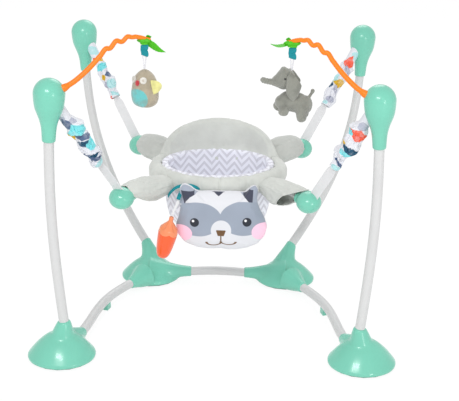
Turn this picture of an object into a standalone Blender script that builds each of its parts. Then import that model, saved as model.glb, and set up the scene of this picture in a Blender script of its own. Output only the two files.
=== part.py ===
"""Baby jumper: a four-post tube frame that carries a fabric seat on four springs.

Two wide front feet and two rear hubs stand on rubber soles and are joined by bent steel tubes.
Four posts rise from them to drop-shaped caps. Each cap holds a spring in a gathered fabric
sleeve, and a strap from each spring carries one arm of the seat ring. The ring has a padded
cover, a back panel, a pocket with two leg holes and a padded animal face in front. A wavy toy
bar leans in from each front cap, with a leaf clip and a plush toy at its tip.

Metres, +Z up, front towards -Y. Shapes are worked out about the middle of the seat, and the
root empty then puts the middle of the footprint at the origin.
"""

import math

import bmesh
import bpy
from mathutils import Matrix, Vector

# Clearances and overall places
GAP = 0.0003
SOFT_GAP = 0.0005
ORIGIN_SHIFT_Y = 0.036
EXTRA = 0.010

# Steel tubes
TUBE_DIAMETER = 0.028
TUBE_WALL = 0.0015
TUBE_INSERT = 0.045
TUBE_RESOLUTION = 3

# Front feet and rear hubs
FOOT_WIDTH = 0.194
FOOT_DEPTH = 0.170
FOOT_HEIGHT = 0.078
FOOT_LIP = 0.008
COLLAR_BASE_Z = 0.045
FOOT_X = 0.427
FOOT_Y = -0.430
HUB_X = 0.225
HUB_Y = 0.115
HUB_HEIGHT = 0.070
SOLE_THICKNESS = 0.004
SOLE_INSET = 0.008
HOUSING_WALL = 0.004
SOCKET_WALL = 0.0030
COLLAR_TOP_Z = 0.115
COLLAR_INWARD = 0.010
COLLAR_BASE_RADIUS = 0.041
CONE_TOP_Z = 0.113
CONE_OUTWARD_X = 0.021
CONE_BACK_Y = 0.043
CONE_BASE_RADIUS = 0.046
CONE_BASE_Z = 0.040
CONE_BASE_INWARD = 0.012

# Posts and caps
TOP_Z = 0.765
FRONT_TOP_X = 0.432
FRONT_TOP_Y = -0.400
FRONT_BOW = 0.0155
REAR_TOP_X = 0.468
REAR_TOP_Y = 0.401
REAR_SWEEP = 2.72
CAP_RADIUS = 0.0425
CAP_NECK_RADIUS = 0.0182
CAP_LENGTH = 0.129
POST_END_BELOW_CAP = 0.056

# Base tubes
SIDE_TUBE_Z = 0.031
SIDE_FRONT_INWARD = 0.043
SIDE_FRONT_BACK = 0.093
SIDE_REAR_OUTWARD = 0.056
SIDE_REAR_FRONT = 0.124
SIDE_BOW = 0.024
SIDE_SKEW = 1.4
CROSS_Z = 0.031
CROSS_Y = 0.098
CROSS_RISE = 0.004
FLARE_END_X = 0.088
BUMPER_LENGTH = 0.024
BUMPER_WIDTH = 0.018
BUMPER_SHARE = 0.64

# Seat
SEAT_Z = 0.425
RING_WIDTH = 0.378
RING_ASPECT = 0.783
RING_TUBE_DIAMETER = 0.014
PAD_WIDTH = 0.054
PAD_HEIGHT = 0.062
PAD_CHANNEL_WIDTH = 0.020
ARM_DIAMETER = 0.014
ARM_RING_ANGLE = 40.0
BALL_X = 0.269
BALL_Y = 0.249
BALL_Z = SEAT_Z - 0.005
BALL_RADIUS = 0.0355
BALL_HALF_HEIGHT = 0.0300
BALL_NECK_RADIUS = 0.0185
BALL_NECK_LENGTH = 0.046
ARM_COVER_FRONT_RADIUS = 0.031
ARM_COVER_FRONT_LIFT = 0.008
ARM_COVER_REAR_RADIUS = 0.041
ARM_COVER_REAR_REACH = 0.86
ARM_COVER_REAR_LIFT = 0.014
BACK_HEIGHT = 0.094
BACK_THICKNESS = 0.030
BACK_HALF_ANGLE = 70.0
POCKET_WALL = 0.004
POCKET_DEPTH = 0.222
LEG_HOLE_DIAMETER = 0.104
LEG_HOLE_X = 0.068
LEG_HOLE_Z = SEAT_Z - 0.153

# Springs, sleeves and straps
SPRING_DIAMETER = 0.019
SPRING_WIRE = 0.0024
SPRING_TURNS = 4
SPRING_COIL_LENGTH = 0.080
SPRING_START = 0.019
SPRING_END = 0.165
SLEEVE_RADIUS = 0.0195
SLEEVE_BORE = 0.0115
SLEEVE_START = 0.031
SLEEVE_THROAT = 0.076
SLEEVE_FREE = 0.094
SLEEVE_END_RADIUS = 0.0160
SLEEVE_PUFFS = 4
SLEEVE_SIDES = 12
RECESS_REACH = 0.100
STRAP_WIDTH = 0.030
STRAP_NECK_WIDTH = 0.019
STRAP_THICKNESS = 0.003
STRAP_FOOT_OUT = 0.012
STRAP_FOOT_UP = 0.014

# Padded face in front of the seat
FACE_WIDTH = 0.272
FACE_HEIGHT = 0.188
FACE_THICKNESS = 0.060
FACE_X = 0.018
FACE_Y = -0.186
FACE_Z = SEAT_Z - 0.088

# Carrot toy
CARROT_X = -0.127
CARROT_Y = -0.222
CARROT_HOOK_Z = SEAT_Z - 0.025
CARROT_HOOK_X = -0.109
CARROT_HOOK_Y = -0.2035
CARROT_LOOP_WIDTH = 0.012
CARROT_STRAP_WIDTH = 0.008
CARROT_BAND_THICKNESS = 0.0016
CARROT_LENGTH = 0.134
CARROT_RADIUS = 0.0285
CARROT_TILT = 13.0
CARROT_STRAP_LENGTH = 0.046
CARROT_PIVOT_ABOVE = 0.0033

# Toy bars
BAR_TIP_Y = -0.310
LEFT_BAR_TIP_X = 0.183
RIGHT_BAR_TIP_X = 0.197
BAR_RISE = 0.113
BAR_RADIUS = 0.0078
BAR_BASE_RADIUS = 0.0110
BAR_TIP_RADIUS = 0.0058
BAR_PEG_DEPTH = 0.0125
BAR_WAVE = 0.0042
CLIP_CUP_RADIUS = 0.0200
CLIP_CUP_LENGTH = 0.020
CLIP_CUP_DEPTH = 0.022
CLIP_FOOT_RADIUS = 0.0098
LEAF_LENGTH = 0.064
LEAF_WIDTH = 0.016
LEAF_THICKNESS = 0.0024
RIBBON_WIDTH = 0.0204
RIBBON_LENGTH = 0.031
RIBBON_THICKNESS = 0.0014
HANG_WIDTH = 0.0140
HANG_END_WIDTH = 0.0064
BIRD_HANG_LENGTH = 0.032
ELEPHANT_HANG_LENGTH = 0.031

# Plush toys
BIRD_WIDTH = 0.075
BIRD_HEIGHT = 0.105
BIRD_DEPTH = 0.060
ELEPHANT_BODY_LENGTH = 0.094
ELEPHANT_BODY_WIDTH = 0.050
ELEPHANT_BODY_HEIGHT = 0.058
ELEPHANT_BODY_TILT = 17.0
ELEPHANT_LEG_RADIUS = 0.0175
ELEPHANT_HEAD_WIDTH = 0.062
ELEPHANT_HEAD_HEIGHT = 0.068
ELEPHANT_EAR_HEIGHT = 0.074
ELEPHANT_EAR_WIDTH = 0.038

TUBE_RADIUS = TUBE_DIAMETER / 2
HOUSING_BASE_Z = SOLE_THICKNESS + GAP
FOOT_ASPECT = FOOT_DEPTH / FOOT_WIDTH
SLEEVE_SHARES = {
    "front_left": 0.68,
    "front_right": 0.65,
    "rear_left": 0.57,
    "rear_right": 0.64,
}

MINT = (0.205, 0.660, 0.465, 1.0)
WHITE = (0.830, 0.840, 0.850, 1.0)
SPRING_STEEL = (0.560, 0.570, 0.580, 1.0)
WEBBING = (0.800, 0.800, 0.840, 1.0)
PRINT = (0.450, 0.700, 0.760, 1.0)
PALE_CLOTH = (0.590, 0.620, 0.590, 1.0)
CHEVRON = (0.620, 0.610, 0.680, 1.0)
FACE_GREY = (0.360, 0.400, 0.470, 1.0)
RUBBER = (0.100, 0.230, 0.190, 1.0)
ORANGE = (1.000, 0.210, 0.010, 1.0)
RED_ORANGE = (0.950, 0.110, 0.030, 1.0)
PALE_ORANGE = (1.000, 0.270, 0.110, 1.0)
LEAF_GREEN = (0.090, 0.620, 0.020, 1.0)
TEAL = (0.020, 0.270, 0.330, 1.0)
PLUSH_BROWN = (0.380, 0.340, 0.300, 1.0)
PLUSH_GREY = (0.230, 0.230, 0.200, 1.0)
WING_YELLOW = (0.860, 0.820, 0.270, 1.0)


def material(name, colour, roughness, metallic=0.0):
    """Return the named Principled material, made once."""
    found = bpy.data.materials.get(name)
    if found:
        return found
    made = bpy.data.materials.new(name)
    made.use_nodes = True
    shader = made.node_tree.nodes["Principled BSDF"]
    shader.inputs["Base Color"].default_value = colour
    shader.inputs["Roughness"].default_value = roughness
    shader.inputs["Metallic"].default_value = metallic
    made.diffuse_color = colour
    return made


def link(name, mesh):
    """Put a mesh into the scene under a name."""
    placed = bpy.data.objects.new(name, mesh)
    bpy.context.scene.collection.objects.link(placed)
    return placed


def frozen(source, name=None):
    """Replace an object by a mesh object of what its modifiers or bevel make."""
    bpy.context.view_layer.update()
    graph = bpy.context.evaluated_depsgraph_get()
    mesh = bpy.data.meshes.new_from_object(source.evaluated_get(graph))
    mesh.transform(source.matrix_world)
    label = name or source.name
    bpy.data.objects.remove(source)
    made = link(label, mesh)
    tidy(made)
    return made


def tidy(target):
    """Weld loose seams, drop slivers and turn the faces outwards."""
    shape = bmesh.new()
    shape.from_mesh(target.data)
    bmesh.ops.remove_doubles(shape, verts=shape.verts, dist=0.00001)
    bmesh.ops.dissolve_degenerate(shape, dist=0.000005, edges=shape.edges)
    bmesh.ops.recalc_face_normals(shape, faces=shape.faces)
    shape.to_mesh(target.data)
    shape.free()


def combine(target, other, operation):
    """Apply one Boolean of another solid to the target and remove that solid."""
    change = target.modifiers.new(operation.lower(), "BOOLEAN")
    change.operation = operation
    change.object = other
    change.solver = "EXACT"
    made = frozen(target, target.name)
    bpy.data.objects.remove(other)
    return made


def cut(target, *cutters):
    """Cut solids out of the target."""
    for cutter in cutters:
        target = combine(target, cutter, "DIFFERENCE")
    return target


def join(target, *others):
    """Fuse solids into the target."""
    for other in others:
        target = combine(target, other, "UNION")
    return target


def moved(target, matrix):
    """Apply a transform to an object's mesh."""
    target.data.transform(matrix)
    if matrix.determinant() < 0:
        target.data.flip_normals()
    return target


def aligned(origin, direction):
    """Return the transform that turns +Z to a direction and moves it to an origin."""
    turn = Vector(direction).to_track_quat("Z", "Y").to_matrix().to_4x4()
    return Matrix.Translation(origin) @ turn


def mirrored(target, name):
    """Copy a solid across the middle plane under a new name."""
    twin = link(name, target.data.copy())
    return moved(twin, Matrix.Scale(-1, 4, (1, 0, 0)))


def turned(name, profile, steps, closed=False):
    """Turn a profile of (radius, height) points about Z, given from top to bottom."""
    mesh = bpy.data.meshes.new(name)
    points = [(radius, 0.0, height) for radius, height in profile]
    edges = [(index, index + 1) for index in range(len(points) - 1)]
    if closed:
        edges.append((len(points) - 1, 0))
    mesh.from_pydata(points, edges, [])
    body = link(name, mesh)
    screw = body.modifiers.new("turn", "SCREW")
    screw.steps = steps
    screw.render_steps = steps
    screw.use_merge_vertices = True
    screw.merge_threshold = 0.0001
    return frozen(body)


def swept(name, points, radii, resolution, caps=True, cyclic=False):
    """Sweep a round section along points; radii is one value or one for each point."""
    if isinstance(radii, float):
        radii = [radii] * len(points)
    widest = max(radii)
    curve = bpy.data.curves.new(name, "CURVE")
    curve.dimensions = "3D"
    curve.bevel_depth = widest
    curve.bevel_resolution = resolution
    curve.use_fill_caps = caps
    spline = curve.splines.new("POLY")
    spline.points.add(len(points) - 1)
    spline.use_cyclic_u = cyclic
    for target, point, radius in zip(spline.points, points, radii):
        target.co = (*point, 1.0)
        target.radius = radius / widest
    body = bpy.data.objects.new(name, curve)
    bpy.context.scene.collection.objects.link(body)
    return frozen(body)


def hollow_tube(name, points, diameter, wall):
    """Sweep a tube with open ends along points."""
    body = swept(name, points, diameter / 2, TUBE_RESOLUTION, caps=False)
    shell = body.modifiers.new("wall", "SOLIDIFY")
    shell.thickness = wall
    shell.offset = -1.0
    return frozen(body)


def loft(name, rings):
    """Join equal rings of points, in order, into one closed solid with flat ends."""
    shape = bmesh.new()
    loops = [[shape.verts.new(point) for point in ring] for ring in rings]
    count = len(loops[0])
    for lower, upper in zip(loops, loops[1:]):
        for index in range(count):
            after = (index + 1) % count
            shape.faces.new((lower[index], lower[after], upper[after], upper[index]))
    shape.faces.new(list(reversed(loops[0])))
    shape.faces.new(loops[-1])
    mesh = bpy.data.meshes.new(name)
    shape.to_mesh(mesh)
    shape.free()
    body = link(name, mesh)
    tidy(body)
    return body


def ellipsoid(name, centre, radii, segments, rings, turn=None):
    """Make a closed ellipsoid."""
    shape = bmesh.new()
    bmesh.ops.create_uvsphere(shape, u_segments=segments, v_segments=rings, radius=1.0)
    mesh = bpy.data.meshes.new(name)
    shape.to_mesh(mesh)
    shape.free()
    body = link(name, mesh)
    place = Matrix.Translation(centre)
    if turn:
        place = place @ turn
    return moved(body, place @ Matrix.Diagonal((*radii, 1.0)))


def block(name, centre, size, turn=None):
    """Make a box."""
    shape = bmesh.new()
    bmesh.ops.create_cube(shape, size=1.0)
    mesh = bpy.data.meshes.new(name)
    shape.to_mesh(mesh)
    shape.free()
    body = link(name, mesh)
    place = Matrix.Translation(centre)
    if turn:
        place = place @ turn
    return moved(body, place @ Matrix.Diagonal((*size, 1.0)))


def drum(name, start, end, start_radius, end_radius, segments):
    """Make a cylinder or cone between two points."""
    start = Vector(start)
    end = Vector(end)
    length = (end - start).length
    profile = [(0.0, length), (end_radius, length), (start_radius, 0.0), (0.0, 0.0)]
    body = turned(name, profile, segments)
    return moved(body, aligned(start, end - start))


def smooth(points, per_span):
    """Return points along a smooth curve through the given points."""
    controls = [Vector(point) for point in points]
    padded = [2 * controls[0] - controls[1], *controls, 2 * controls[-1] - controls[-2]]
    result = []
    for index in range(1, len(padded) - 2):
        before, start, end, after = padded[index - 1 : index + 3]
        for step in range(per_span):
            t = step / per_span
            point = 0.5 * (
                2 * start
                + (end - before) * t
                + (2 * before - 5 * start + 4 * end - after) * t * t
                + (3 * start - before - 3 * end + after) * t * t * t
            )
            result.append(point)
    result.append(controls[-1])
    return result


def extended(points, before, after):
    """Lengthen a path in a straight line at its two ends."""
    first = points[0] + (points[0] - points[1]).normalized() * before
    last = points[-1] + (points[-1] - points[-2]).normalized() * after
    return [first, *points, last]


def lerp(low, high, share):
    """Return the value at a share of the way between two values."""
    return low + (high - low) * share


CORNERS = {
    "front_left": (-1, -1),
    "front_right": (1, -1),
    "rear_left": (-1, 1),
    "rear_right": (1, 1),
}


def cap_centre(corner):
    """Return the middle of a corner's cap ball."""
    side, depth = CORNERS[corner]
    if depth < 0:
        return Vector((side * FRONT_TOP_X, FRONT_TOP_Y, TOP_Z))
    return Vector((side * REAR_TOP_X, REAR_TOP_Y, TOP_Z))


def ball_centre(corner):
    """Return the middle of a corner's ball on the seat."""
    side, depth = CORNERS[corner]
    return Vector((side * BALL_X, depth * BALL_Y, BALL_Z))


def strap_foot(corner):
    """Return the point in the ball where the strap ends."""
    centre = ball_centre(corner)
    outward = (cap_centre(corner) - centre).to_2d().normalized()
    return centre + Vector((*(outward * STRAP_FOOT_OUT), STRAP_FOOT_UP))


def hang_line(corner):
    """Return the cap's middle, the unit direction to the strap's foot and the length."""
    start = cap_centre(corner)
    run = strap_foot(corner) - start
    return start, run.normalized(), run.length


def post_path(corner):
    """Return the middle line of a post, from its foot or hub to its cap."""
    side, depth = CORNERS[corner]
    top = cap_centre(corner)
    steps = 6 if depth < 0 else 8
    points = []
    for step in range(steps + 1):
        share = step / steps
        if depth < 0:
            base = Vector((side * (FOOT_X - COLLAR_INWARD), FOOT_Y, COLLAR_TOP_Z))
            point = base.lerp(top, share)
            point.x += side * FRONT_BOW * math.sin(math.pi * share)
        else:
            base = Vector((side * (HUB_X + CONE_OUTWARD_X), HUB_Y + CONE_BACK_Y, CONE_TOP_Z))
            rest = (1 - share) ** REAR_SWEEP
            point = Vector((lerp(top.x, base.x, rest), lerp(top.y, base.y, rest), lerp(base.z, top.z, share)))
        if point.z < TOP_Z - POST_END_BELOW_CAP:
            points.append(point)
    neck = Vector((top.x, top.y, TOP_Z - POST_END_BELOW_CAP))
    neck.x = points[-1].x + (top.x - points[-1].x) * 0.7
    neck.y = points[-1].y + (top.y - points[-1].y) * 0.7
    points.append(neck)
    return extended(points, TUBE_INSERT, 0.0)


def side_path(side):
    """Return the middle line of a side tube between its two sockets."""
    front = Vector((side * (FOOT_X - SIDE_FRONT_INWARD), FOOT_Y + SIDE_FRONT_BACK, SIDE_TUBE_Z))
    rear = Vector((side * (HUB_X + SIDE_REAR_OUTWARD), HUB_Y - SIDE_REAR_FRONT, SIDE_TUBE_Z))
    steps = 6
    points = []
    for step in range(steps + 1):
        share = step / steps
        point = front.lerp(rear, share)
        point.x += side * SIDE_BOW * math.sin(math.pi * share**SIDE_SKEW)
        points.append(point)
    return points


def side_tube_path(side):
    """Return the middle line of a whole side tube."""
    return extended(side_path(side), TUBE_INSERT, TUBE_INSERT)


def cross_tube_path():
    """Return the middle line of the whole cross tube."""
    return extended(cross_path(), TUBE_INSERT, TUBE_INSERT)


def cross_path():
    """Return the middle line of the cross tube between the two hubs."""
    steps = 4
    points = []
    for step in range(steps + 1):
        share = step / steps
        x = lerp(-FLARE_END_X, FLARE_END_X, share)
        points.append(Vector((x, CROSS_Y, CROSS_Z + CROSS_RISE * math.sin(math.pi * share))))
    return points


def dome_profile(radius, height, base, steps):
    """Return the bell-shaped outline of a foot, from its top to its base."""
    points = [(0.0, base + height)]
    for step in range(1, steps + 1):
        angle = math.radians(90 * step / steps)
        rise = math.cos(angle) ** 2.1
        points.append((radius * math.sin(angle), base + FOOT_LIP + (height - FOOT_LIP) * rise))
    points.append((radius * 0.985, base))
    points.append((0.0, base))
    return points


def dome(name, centre, height, inset=0.0):
    """Make a foot's dome, or its inside when an inset is given."""
    radius = FOOT_WIDTH / 2 - inset
    base = HOUSING_BASE_Z - (EXTRA if inset else 0.0)
    tall = height - inset + (EXTRA if inset else 0.0)
    segments = 12 if inset else 20
    body = turned(name, dome_profile(radius, tall, base, 3 if inset else 5), segments)
    squash = Matrix.Diagonal((1.0, FOOT_ASPECT, 1.0, 1.0))
    return moved(body, Matrix.Translation((*centre, 0.0)) @ squash)


def floor_cutter():
    """Make the slab that trims a housing level with its sole."""
    span = 4 * FOOT_X
    depth = 2 * FOOT_HEIGHT
    return block("floor", (0, 0, HOUSING_BASE_Z - depth / 2), (span, span, depth))


def socket(name, path, inner, outer, grow):
    """Make the tapered socket round the first stretch of a path."""
    direction = (path[1] - path[0]).normalized()
    mouth = path[0]
    return drum(name, mouth - direction * inner, mouth, TUBE_RADIUS + grow, TUBE_RADIUS + outer, 16)


def flared_neck(name, base, base_radius, path, power):
    """Make a neck that grows out of a dome and narrows to the socket's mouth."""
    mouth = path[0]
    aim = (path[1] - path[0]).normalized()
    sides = 16
    steps = 4
    rings = []
    for step in range(steps + 1):
        share = step / steps
        centre = Vector(base).lerp(mouth, share)
        normal = Vector((0, 0, 1)).lerp(aim, share).normalized()
        across = (Vector((1, 0, 0)) - normal * normal.x).normalized()
        along = normal.cross(across)
        radius = lerp(TUBE_RADIUS + SOCKET_WALL, base_radius, (1 - share) ** power)
        ring = []
        for side in range(sides):
            angle = 2 * math.pi * side / sides
            ring.append(centre + across * (radius * math.cos(angle)) + along * (radius * math.sin(angle)))
        rings.append(ring)
    return loft(name, rings)


def tube_bore(path):
    """Make the clearance of a whole tube, for the pieces that hold it."""
    return swept("bore", extended(path, GAP, GAP), TUBE_RADIUS + GAP, TUBE_RESOLUTION)


def housing(name, centre, height, paths, shapes, tubes):
    """Make a hollow foot or hub with a socket for each of its tubes."""
    body = join(dome(name, centre, height), *shapes)
    body = cut(body, floor_cutter())
    cavity = dome("cavity", centre, height, inset=HOUSING_WALL)
    for index, path in enumerate(paths):
        direction = (path[1] - path[0]).normalized()
        sleeve_end = path[0] - direction * (TUBE_INSERT + SOCKET_WALL)
        sleeve = drum(f"sleeve_{index}", sleeve_end, path[0] + direction * EXTRA,
                      TUBE_RADIUS + SOCKET_WALL, TUBE_RADIUS + SOCKET_WALL, 12)
        cavity = cut(cavity, sleeve)
    body = cut(body, cavity, *[tube_bore(tube) for tube in tubes])
    body.name = name
    return body


def front_foot():
    """Make the left front foot."""
    post = post_path("front_left")[1:]
    side = side_path(-1)
    collar = flared_neck("collar", (-FOOT_X, FOOT_Y, COLLAR_BASE_Z), COLLAR_BASE_RADIUS, post, 0.8)
    boss = socket("boss", side, 0.050, SOCKET_WALL, SOCKET_WALL + 0.003)
    tubes = [post_path("front_left"), side_tube_path(-1)]
    return housing("foot_front_left", (-FOOT_X, FOOT_Y), FOOT_HEIGHT, [post, side], [collar, boss], tubes)


def rear_hub():
    """Make the left rear hub."""
    post = post_path("rear_left")[1:]
    side = list(reversed(side_path(-1)))
    cross = cross_path()
    neck_base = (CONE_BASE_INWARD - HUB_X, HUB_Y, CONE_BASE_Z)
    cone = flared_neck("cone", neck_base, CONE_BASE_RADIUS, post, 1.3)
    boss = socket("boss", side, 0.050, SOCKET_WALL, SOCKET_WALL + 0.008)
    reach = HUB_X - FLARE_END_X
    profile = []
    steps = 4
    for step in range(steps + 1):
        share = step / steps
        spread = 0.030 * (1 - share) ** 1.6
        profile.append((TUBE_RADIUS + SOCKET_WALL + spread, reach * share))
    outline = [(0.0, reach), *reversed(profile), (0.0, 0.0)]
    flare = turned("flare", outline, 16)
    flare = moved(flare, aligned((-HUB_X, CROSS_Y, CROSS_Z), (1, 0, 0)))
    sockets = [post, side, cross]
    tubes = [post_path("rear_left"), side_tube_path(-1), cross_tube_path()]
    return housing("hub_rear_left", (-HUB_X, HUB_Y), HUB_HEIGHT, sockets, [cone, boss, flare], tubes)


def sole(name, centre):
    """Make the rubber sole under a foot."""
    radius = FOOT_WIDTH / 2 - SOLE_INSET
    edge = 0.001
    profile = [(0.0, SOLE_THICKNESS), (radius, SOLE_THICKNESS), (radius, edge), (radius - edge, 0.0), (0.0, 0.0)]
    body = turned(name, profile, 16)
    squash = Matrix.Diagonal((1.0, FOOT_ASPECT, 1.0, 1.0))
    return moved(body, Matrix.Translation((*centre, 0.0)) @ squash)


def cap(corner):
    """Make a corner's drop-shaped cap, with its bore and the recess for the spring."""
    centre = cap_centre(corner)
    post = post_path(corner)
    profile = [(0.0, CAP_RADIUS)]
    steps = 4
    for step in range(1, steps + 1):
        angle = math.radians(90 * step / steps)
        profile.append((CAP_RADIUS * math.sin(angle), CAP_RADIUS * math.cos(angle)))
    neck = CAP_NECK_RADIUS / CAP_RADIUS
    for drop, width in ((0.15, 0.965), (0.29, 0.895), (0.42, 0.75), (0.55, 0.60), (0.72, 0.485)):
        profile.append((CAP_RADIUS * max(width, neck), -CAP_LENGTH * drop))
    profile.append((CAP_NECK_RADIUS, -CAP_LENGTH))
    profile.append((0.0, -CAP_LENGTH))
    body = turned(f"cap_{corner}", profile, 16)
    axis = centre - post[-3]
    body = moved(body, aligned(centre, axis))
    start, direction, _ = hang_line(corner)
    opening = SLEEVE_END_RADIUS + GAP
    recess = drum("recess", start + direction * (SPRING_START - GAP), start + direction * RECESS_REACH,
                  opening, opening, SLEEVE_SIDES)
    return cut(body, tube_bore(post), recess)


def least_gap(points, radius):
    """Return the least gap of a wound wire to itself."""
    travelled = [0.0]
    for before, after in zip(points, points[1:]):
        travelled.append(travelled[-1] + (after - before).length)
    nearest = math.inf
    for here, point in enumerate(points):
        for there in range(here):
            if travelled[here] - travelled[there] > 6 * radius:
                nearest = min(nearest, (point - points[there]).length)
    return nearest - 2 * radius


def spring(corner):
    """Make a corner's coil spring, with a straight eye at each end."""
    start, direction, _ = hang_line(corner)
    coil_radius = (SPRING_DIAMETER - SPRING_WIRE) / 2
    per_turn = 8
    middle = (SPRING_START + SPRING_END) / 2
    low = middle - SPRING_COIL_LENGTH / 2
    points = [Vector((0, 0, SPRING_START)), Vector((0, 0, low - coil_radius))]
    count = SPRING_TURNS * per_turn
    for step in range(count + 1):
        angle = 2 * math.pi * step / per_turn
        height = low + SPRING_COIL_LENGTH * step / count
        points.append(Vector((coil_radius * math.cos(angle), coil_radius * math.sin(angle), height)))
    points.append(Vector((0, 0, middle + SPRING_COIL_LENGTH / 2 + coil_radius)))
    points.append(Vector((0, 0, SPRING_END)))
    print(f"spring_{corner}: {least_gap(points, SPRING_WIRE / 2) * 1000:.1f} mm between its windings")
    body = swept(f"spring_{corner}", points, SPRING_WIRE / 2, 1)
    return moved(body, aligned(start, direction))


def sleeve(corner):
    """Make a corner's gathered fabric sleeve, open at both ends."""
    start, direction, length = hang_line(corner)
    end = length * SLEEVE_SHARES[corner]
    rows = 2 * SLEEVE_PUFFS
    stations = [(SLEEVE_START, SLEEVE_END_RADIUS, 0.0), (SLEEVE_THROAT, SLEEVE_END_RADIUS, 0.0)]
    for row in range(rows):
        swell = 0.82 if row % 2 else 1.0
        stations.append((lerp(SLEEVE_FREE, end, row / rows), SLEEVE_RADIUS * swell, 1.0))
    stations.append((end, SLEEVE_END_RADIUS, 0.3))
    rings = []
    for row, (along, radius, gather) in enumerate(stations):
        ring = []
        for side in range(SLEEVE_SIDES):
            angle = 2 * math.pi * side / SLEEVE_SIDES
            fold = radius * (1 + gather * 0.09 * math.sin(2 * angle + 1.7 * row))
            sway = gather * SLEEVE_RADIUS * 0.082 * (-1) ** row
            ring.append(Vector((fold * math.cos(angle) + sway, fold * math.sin(angle), along)))
        rings.append(ring)
    body = loft(f"sleeve_{corner}", rings)
    bore = drum("bore", (0, 0, SLEEVE_START - EXTRA), (0, 0, end + EXTRA), SLEEVE_BORE, SLEEVE_BORE, SLEEVE_SIDES)
    return moved(cut(body, bore), aligned(start, direction))


def strap_frame(corner):
    """Return the transform whose Z runs down the strap and whose X crosses its width."""
    start, direction, _ = hang_line(corner)
    flat = direction.cross(Vector((0, 0, 1))).normalized()
    across = flat.cross(direction).normalized()
    turn = Matrix((across, flat, direction)).transposed().to_4x4()
    if turn.determinant() < 0:
        turn = Matrix((across, -flat, direction)).transposed().to_4x4()
    return Matrix.Translation(start) @ turn


def strap(corner, grow=0.0):
    """Make a corner's strap, narrow where the sleeve holds it."""
    _, _, length = hang_line(corner)
    sleeve_end = length * SLEEVE_SHARES[corner]
    stations = [
        (SPRING_END + GAP, STRAP_NECK_WIDTH),
        (sleeve_end + 0.004, STRAP_NECK_WIDTH),
        (sleeve_end + 0.024, STRAP_WIDTH),
        (length, STRAP_WIDTH),
    ]
    thick = STRAP_THICKNESS / 2 + grow
    rings = []
    for index, (along, width) in enumerate(stations):
        if index == len(stations) - 1:
            along += grow
        half = width / 2 + grow
        edge = thick * 0.5
        rings.append([
            (half, -edge, along), (half, edge, along), (half - edge, thick, along), (edge - half, thick, along),
            (-half, edge, along), (-half, -edge, along), (edge - half, -thick, along), (half - edge, -thick, along),
        ])
    body = loft(f"strap_{corner}", rings)
    return moved(body, strap_frame(corner))


def ring_point(angle, radius=RING_WIDTH / 2, height=SEAT_Z):
    """Return a point of an oval round the seat at an angle in degrees."""
    turn = math.radians(angle)
    return Vector((radius * math.cos(turn), radius * RING_ASPECT * math.sin(turn), height))


def arm_path(corner):
    """Return the start of an arm on the seat ring and its end in the ball."""
    side, depth = CORNERS[corner]
    start = ring_point(ARM_RING_ANGLE)
    start.x *= side
    start.y *= depth
    return start, ball_centre(corner)


def oval(body):
    """Squash a turned seat piece to the ring's oval."""
    return moved(body, Matrix.Diagonal((1.0, RING_ASPECT, 1.0, 1.0)))


def seat_ring():
    """Make the hard seat ring with its four arms."""
    radius = RING_TUBE_DIAMETER / 2
    section = []
    sides = 6
    for step in range(sides):
        angle = 2 * math.pi * (step + 0.5) / sides
        section.append((RING_WIDTH / 2 + radius * math.sin(angle), SEAT_Z + radius * math.cos(angle)))
    body = oval(turned("seat_ring", section, 26, closed=True))
    for corner in CORNERS:
        start, end = arm_path(corner)
        inner = (end - start).normalized()
        stop = end - inner * 0.012
        body = join(body, drum("arm", start, stop, ARM_DIAMETER / 2, ARM_DIAMETER / 2, 10))
    body.name = "seat_ring"
    return body


def ball(corner, grow=0.0):
    """Make the rounded knuckle that joins an arm to its strap."""
    start, centre = arm_path(corner)
    inward = (start - centre).normalized()
    radii = (BALL_RADIUS + grow, BALL_RADIUS + grow, BALL_HALF_HEIGHT + grow)
    body = ellipsoid(f"seat_ball_{corner}", centre, radii, 14, 8)
    reach = BALL_NECK_LENGTH + grow
    neck = drum("neck", centre, centre + inward * reach, BALL_NECK_RADIUS + grow, BALL_NECK_RADIUS + grow, 12)
    return join(body, neck)


def drilled_ball(corner):
    """Make a ball with the bore for its arm and the slot for its strap."""
    start, centre = arm_path(corner)
    inward = (start - centre).normalized()
    radius = ARM_DIAMETER / 2 + GAP
    bore = drum("bore", centre - inward * -(0.012 - GAP), start, radius, radius, 10)
    body = cut(ball(corner), bore, strap(corner, GAP))
    body.name = f"seat_ball_{corner}"
    return body


def pad_section(grow=0.0, channel=False):
    """Return the outline of the padded ring cover as (radius, height) points."""
    half_width = PAD_WIDTH / 2 + grow
    half_height = PAD_HEIGHT / 2 + grow
    centre = RING_WIDTH / 2
    sides = 12
    points = []
    for step in range(sides):
        angle = math.radians(-90 + 360 * (step + 0.5) / sides)
        x = math.copysign(abs(math.cos(angle)) ** 0.85, math.cos(angle))
        z = math.copysign(abs(math.sin(angle)) ** 0.85, math.sin(angle))
        points.append((centre + half_width * x, SEAT_Z + half_height * z))
    if channel:
        half = PAD_CHANNEL_WIDTH / 2
        low = SEAT_Z - half_height
        roof = SEAT_Z + RING_TUBE_DIAMETER / 2 + SOFT_GAP
        inset = [(centre - half, low), (centre - half, roof), (centre + half, roof), (centre + half, low)]
        points = [*points, *inset]
    return points


def ring_cover():
    """Make the padded cover of the seat ring, open below where it laps round the ring."""
    points = pad_section(channel=True)
    body = oval(turned("seat_cover", list(reversed(points)), 28, closed=True))
    for corner in CORNERS:
        start, end = arm_path(corner)
        radius = ARM_DIAMETER / 2 + SOFT_GAP
        body = cut(body, drum("arm_hole", start, end, radius, radius, 10))
    body.name = "seat_cover"
    return body


def cover_envelope():
    """Make the solid that seats other soft pieces against the ring cover."""
    return oval(turned("envelope", list(reversed(pad_section(SOFT_GAP))), 28, closed=True))


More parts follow.
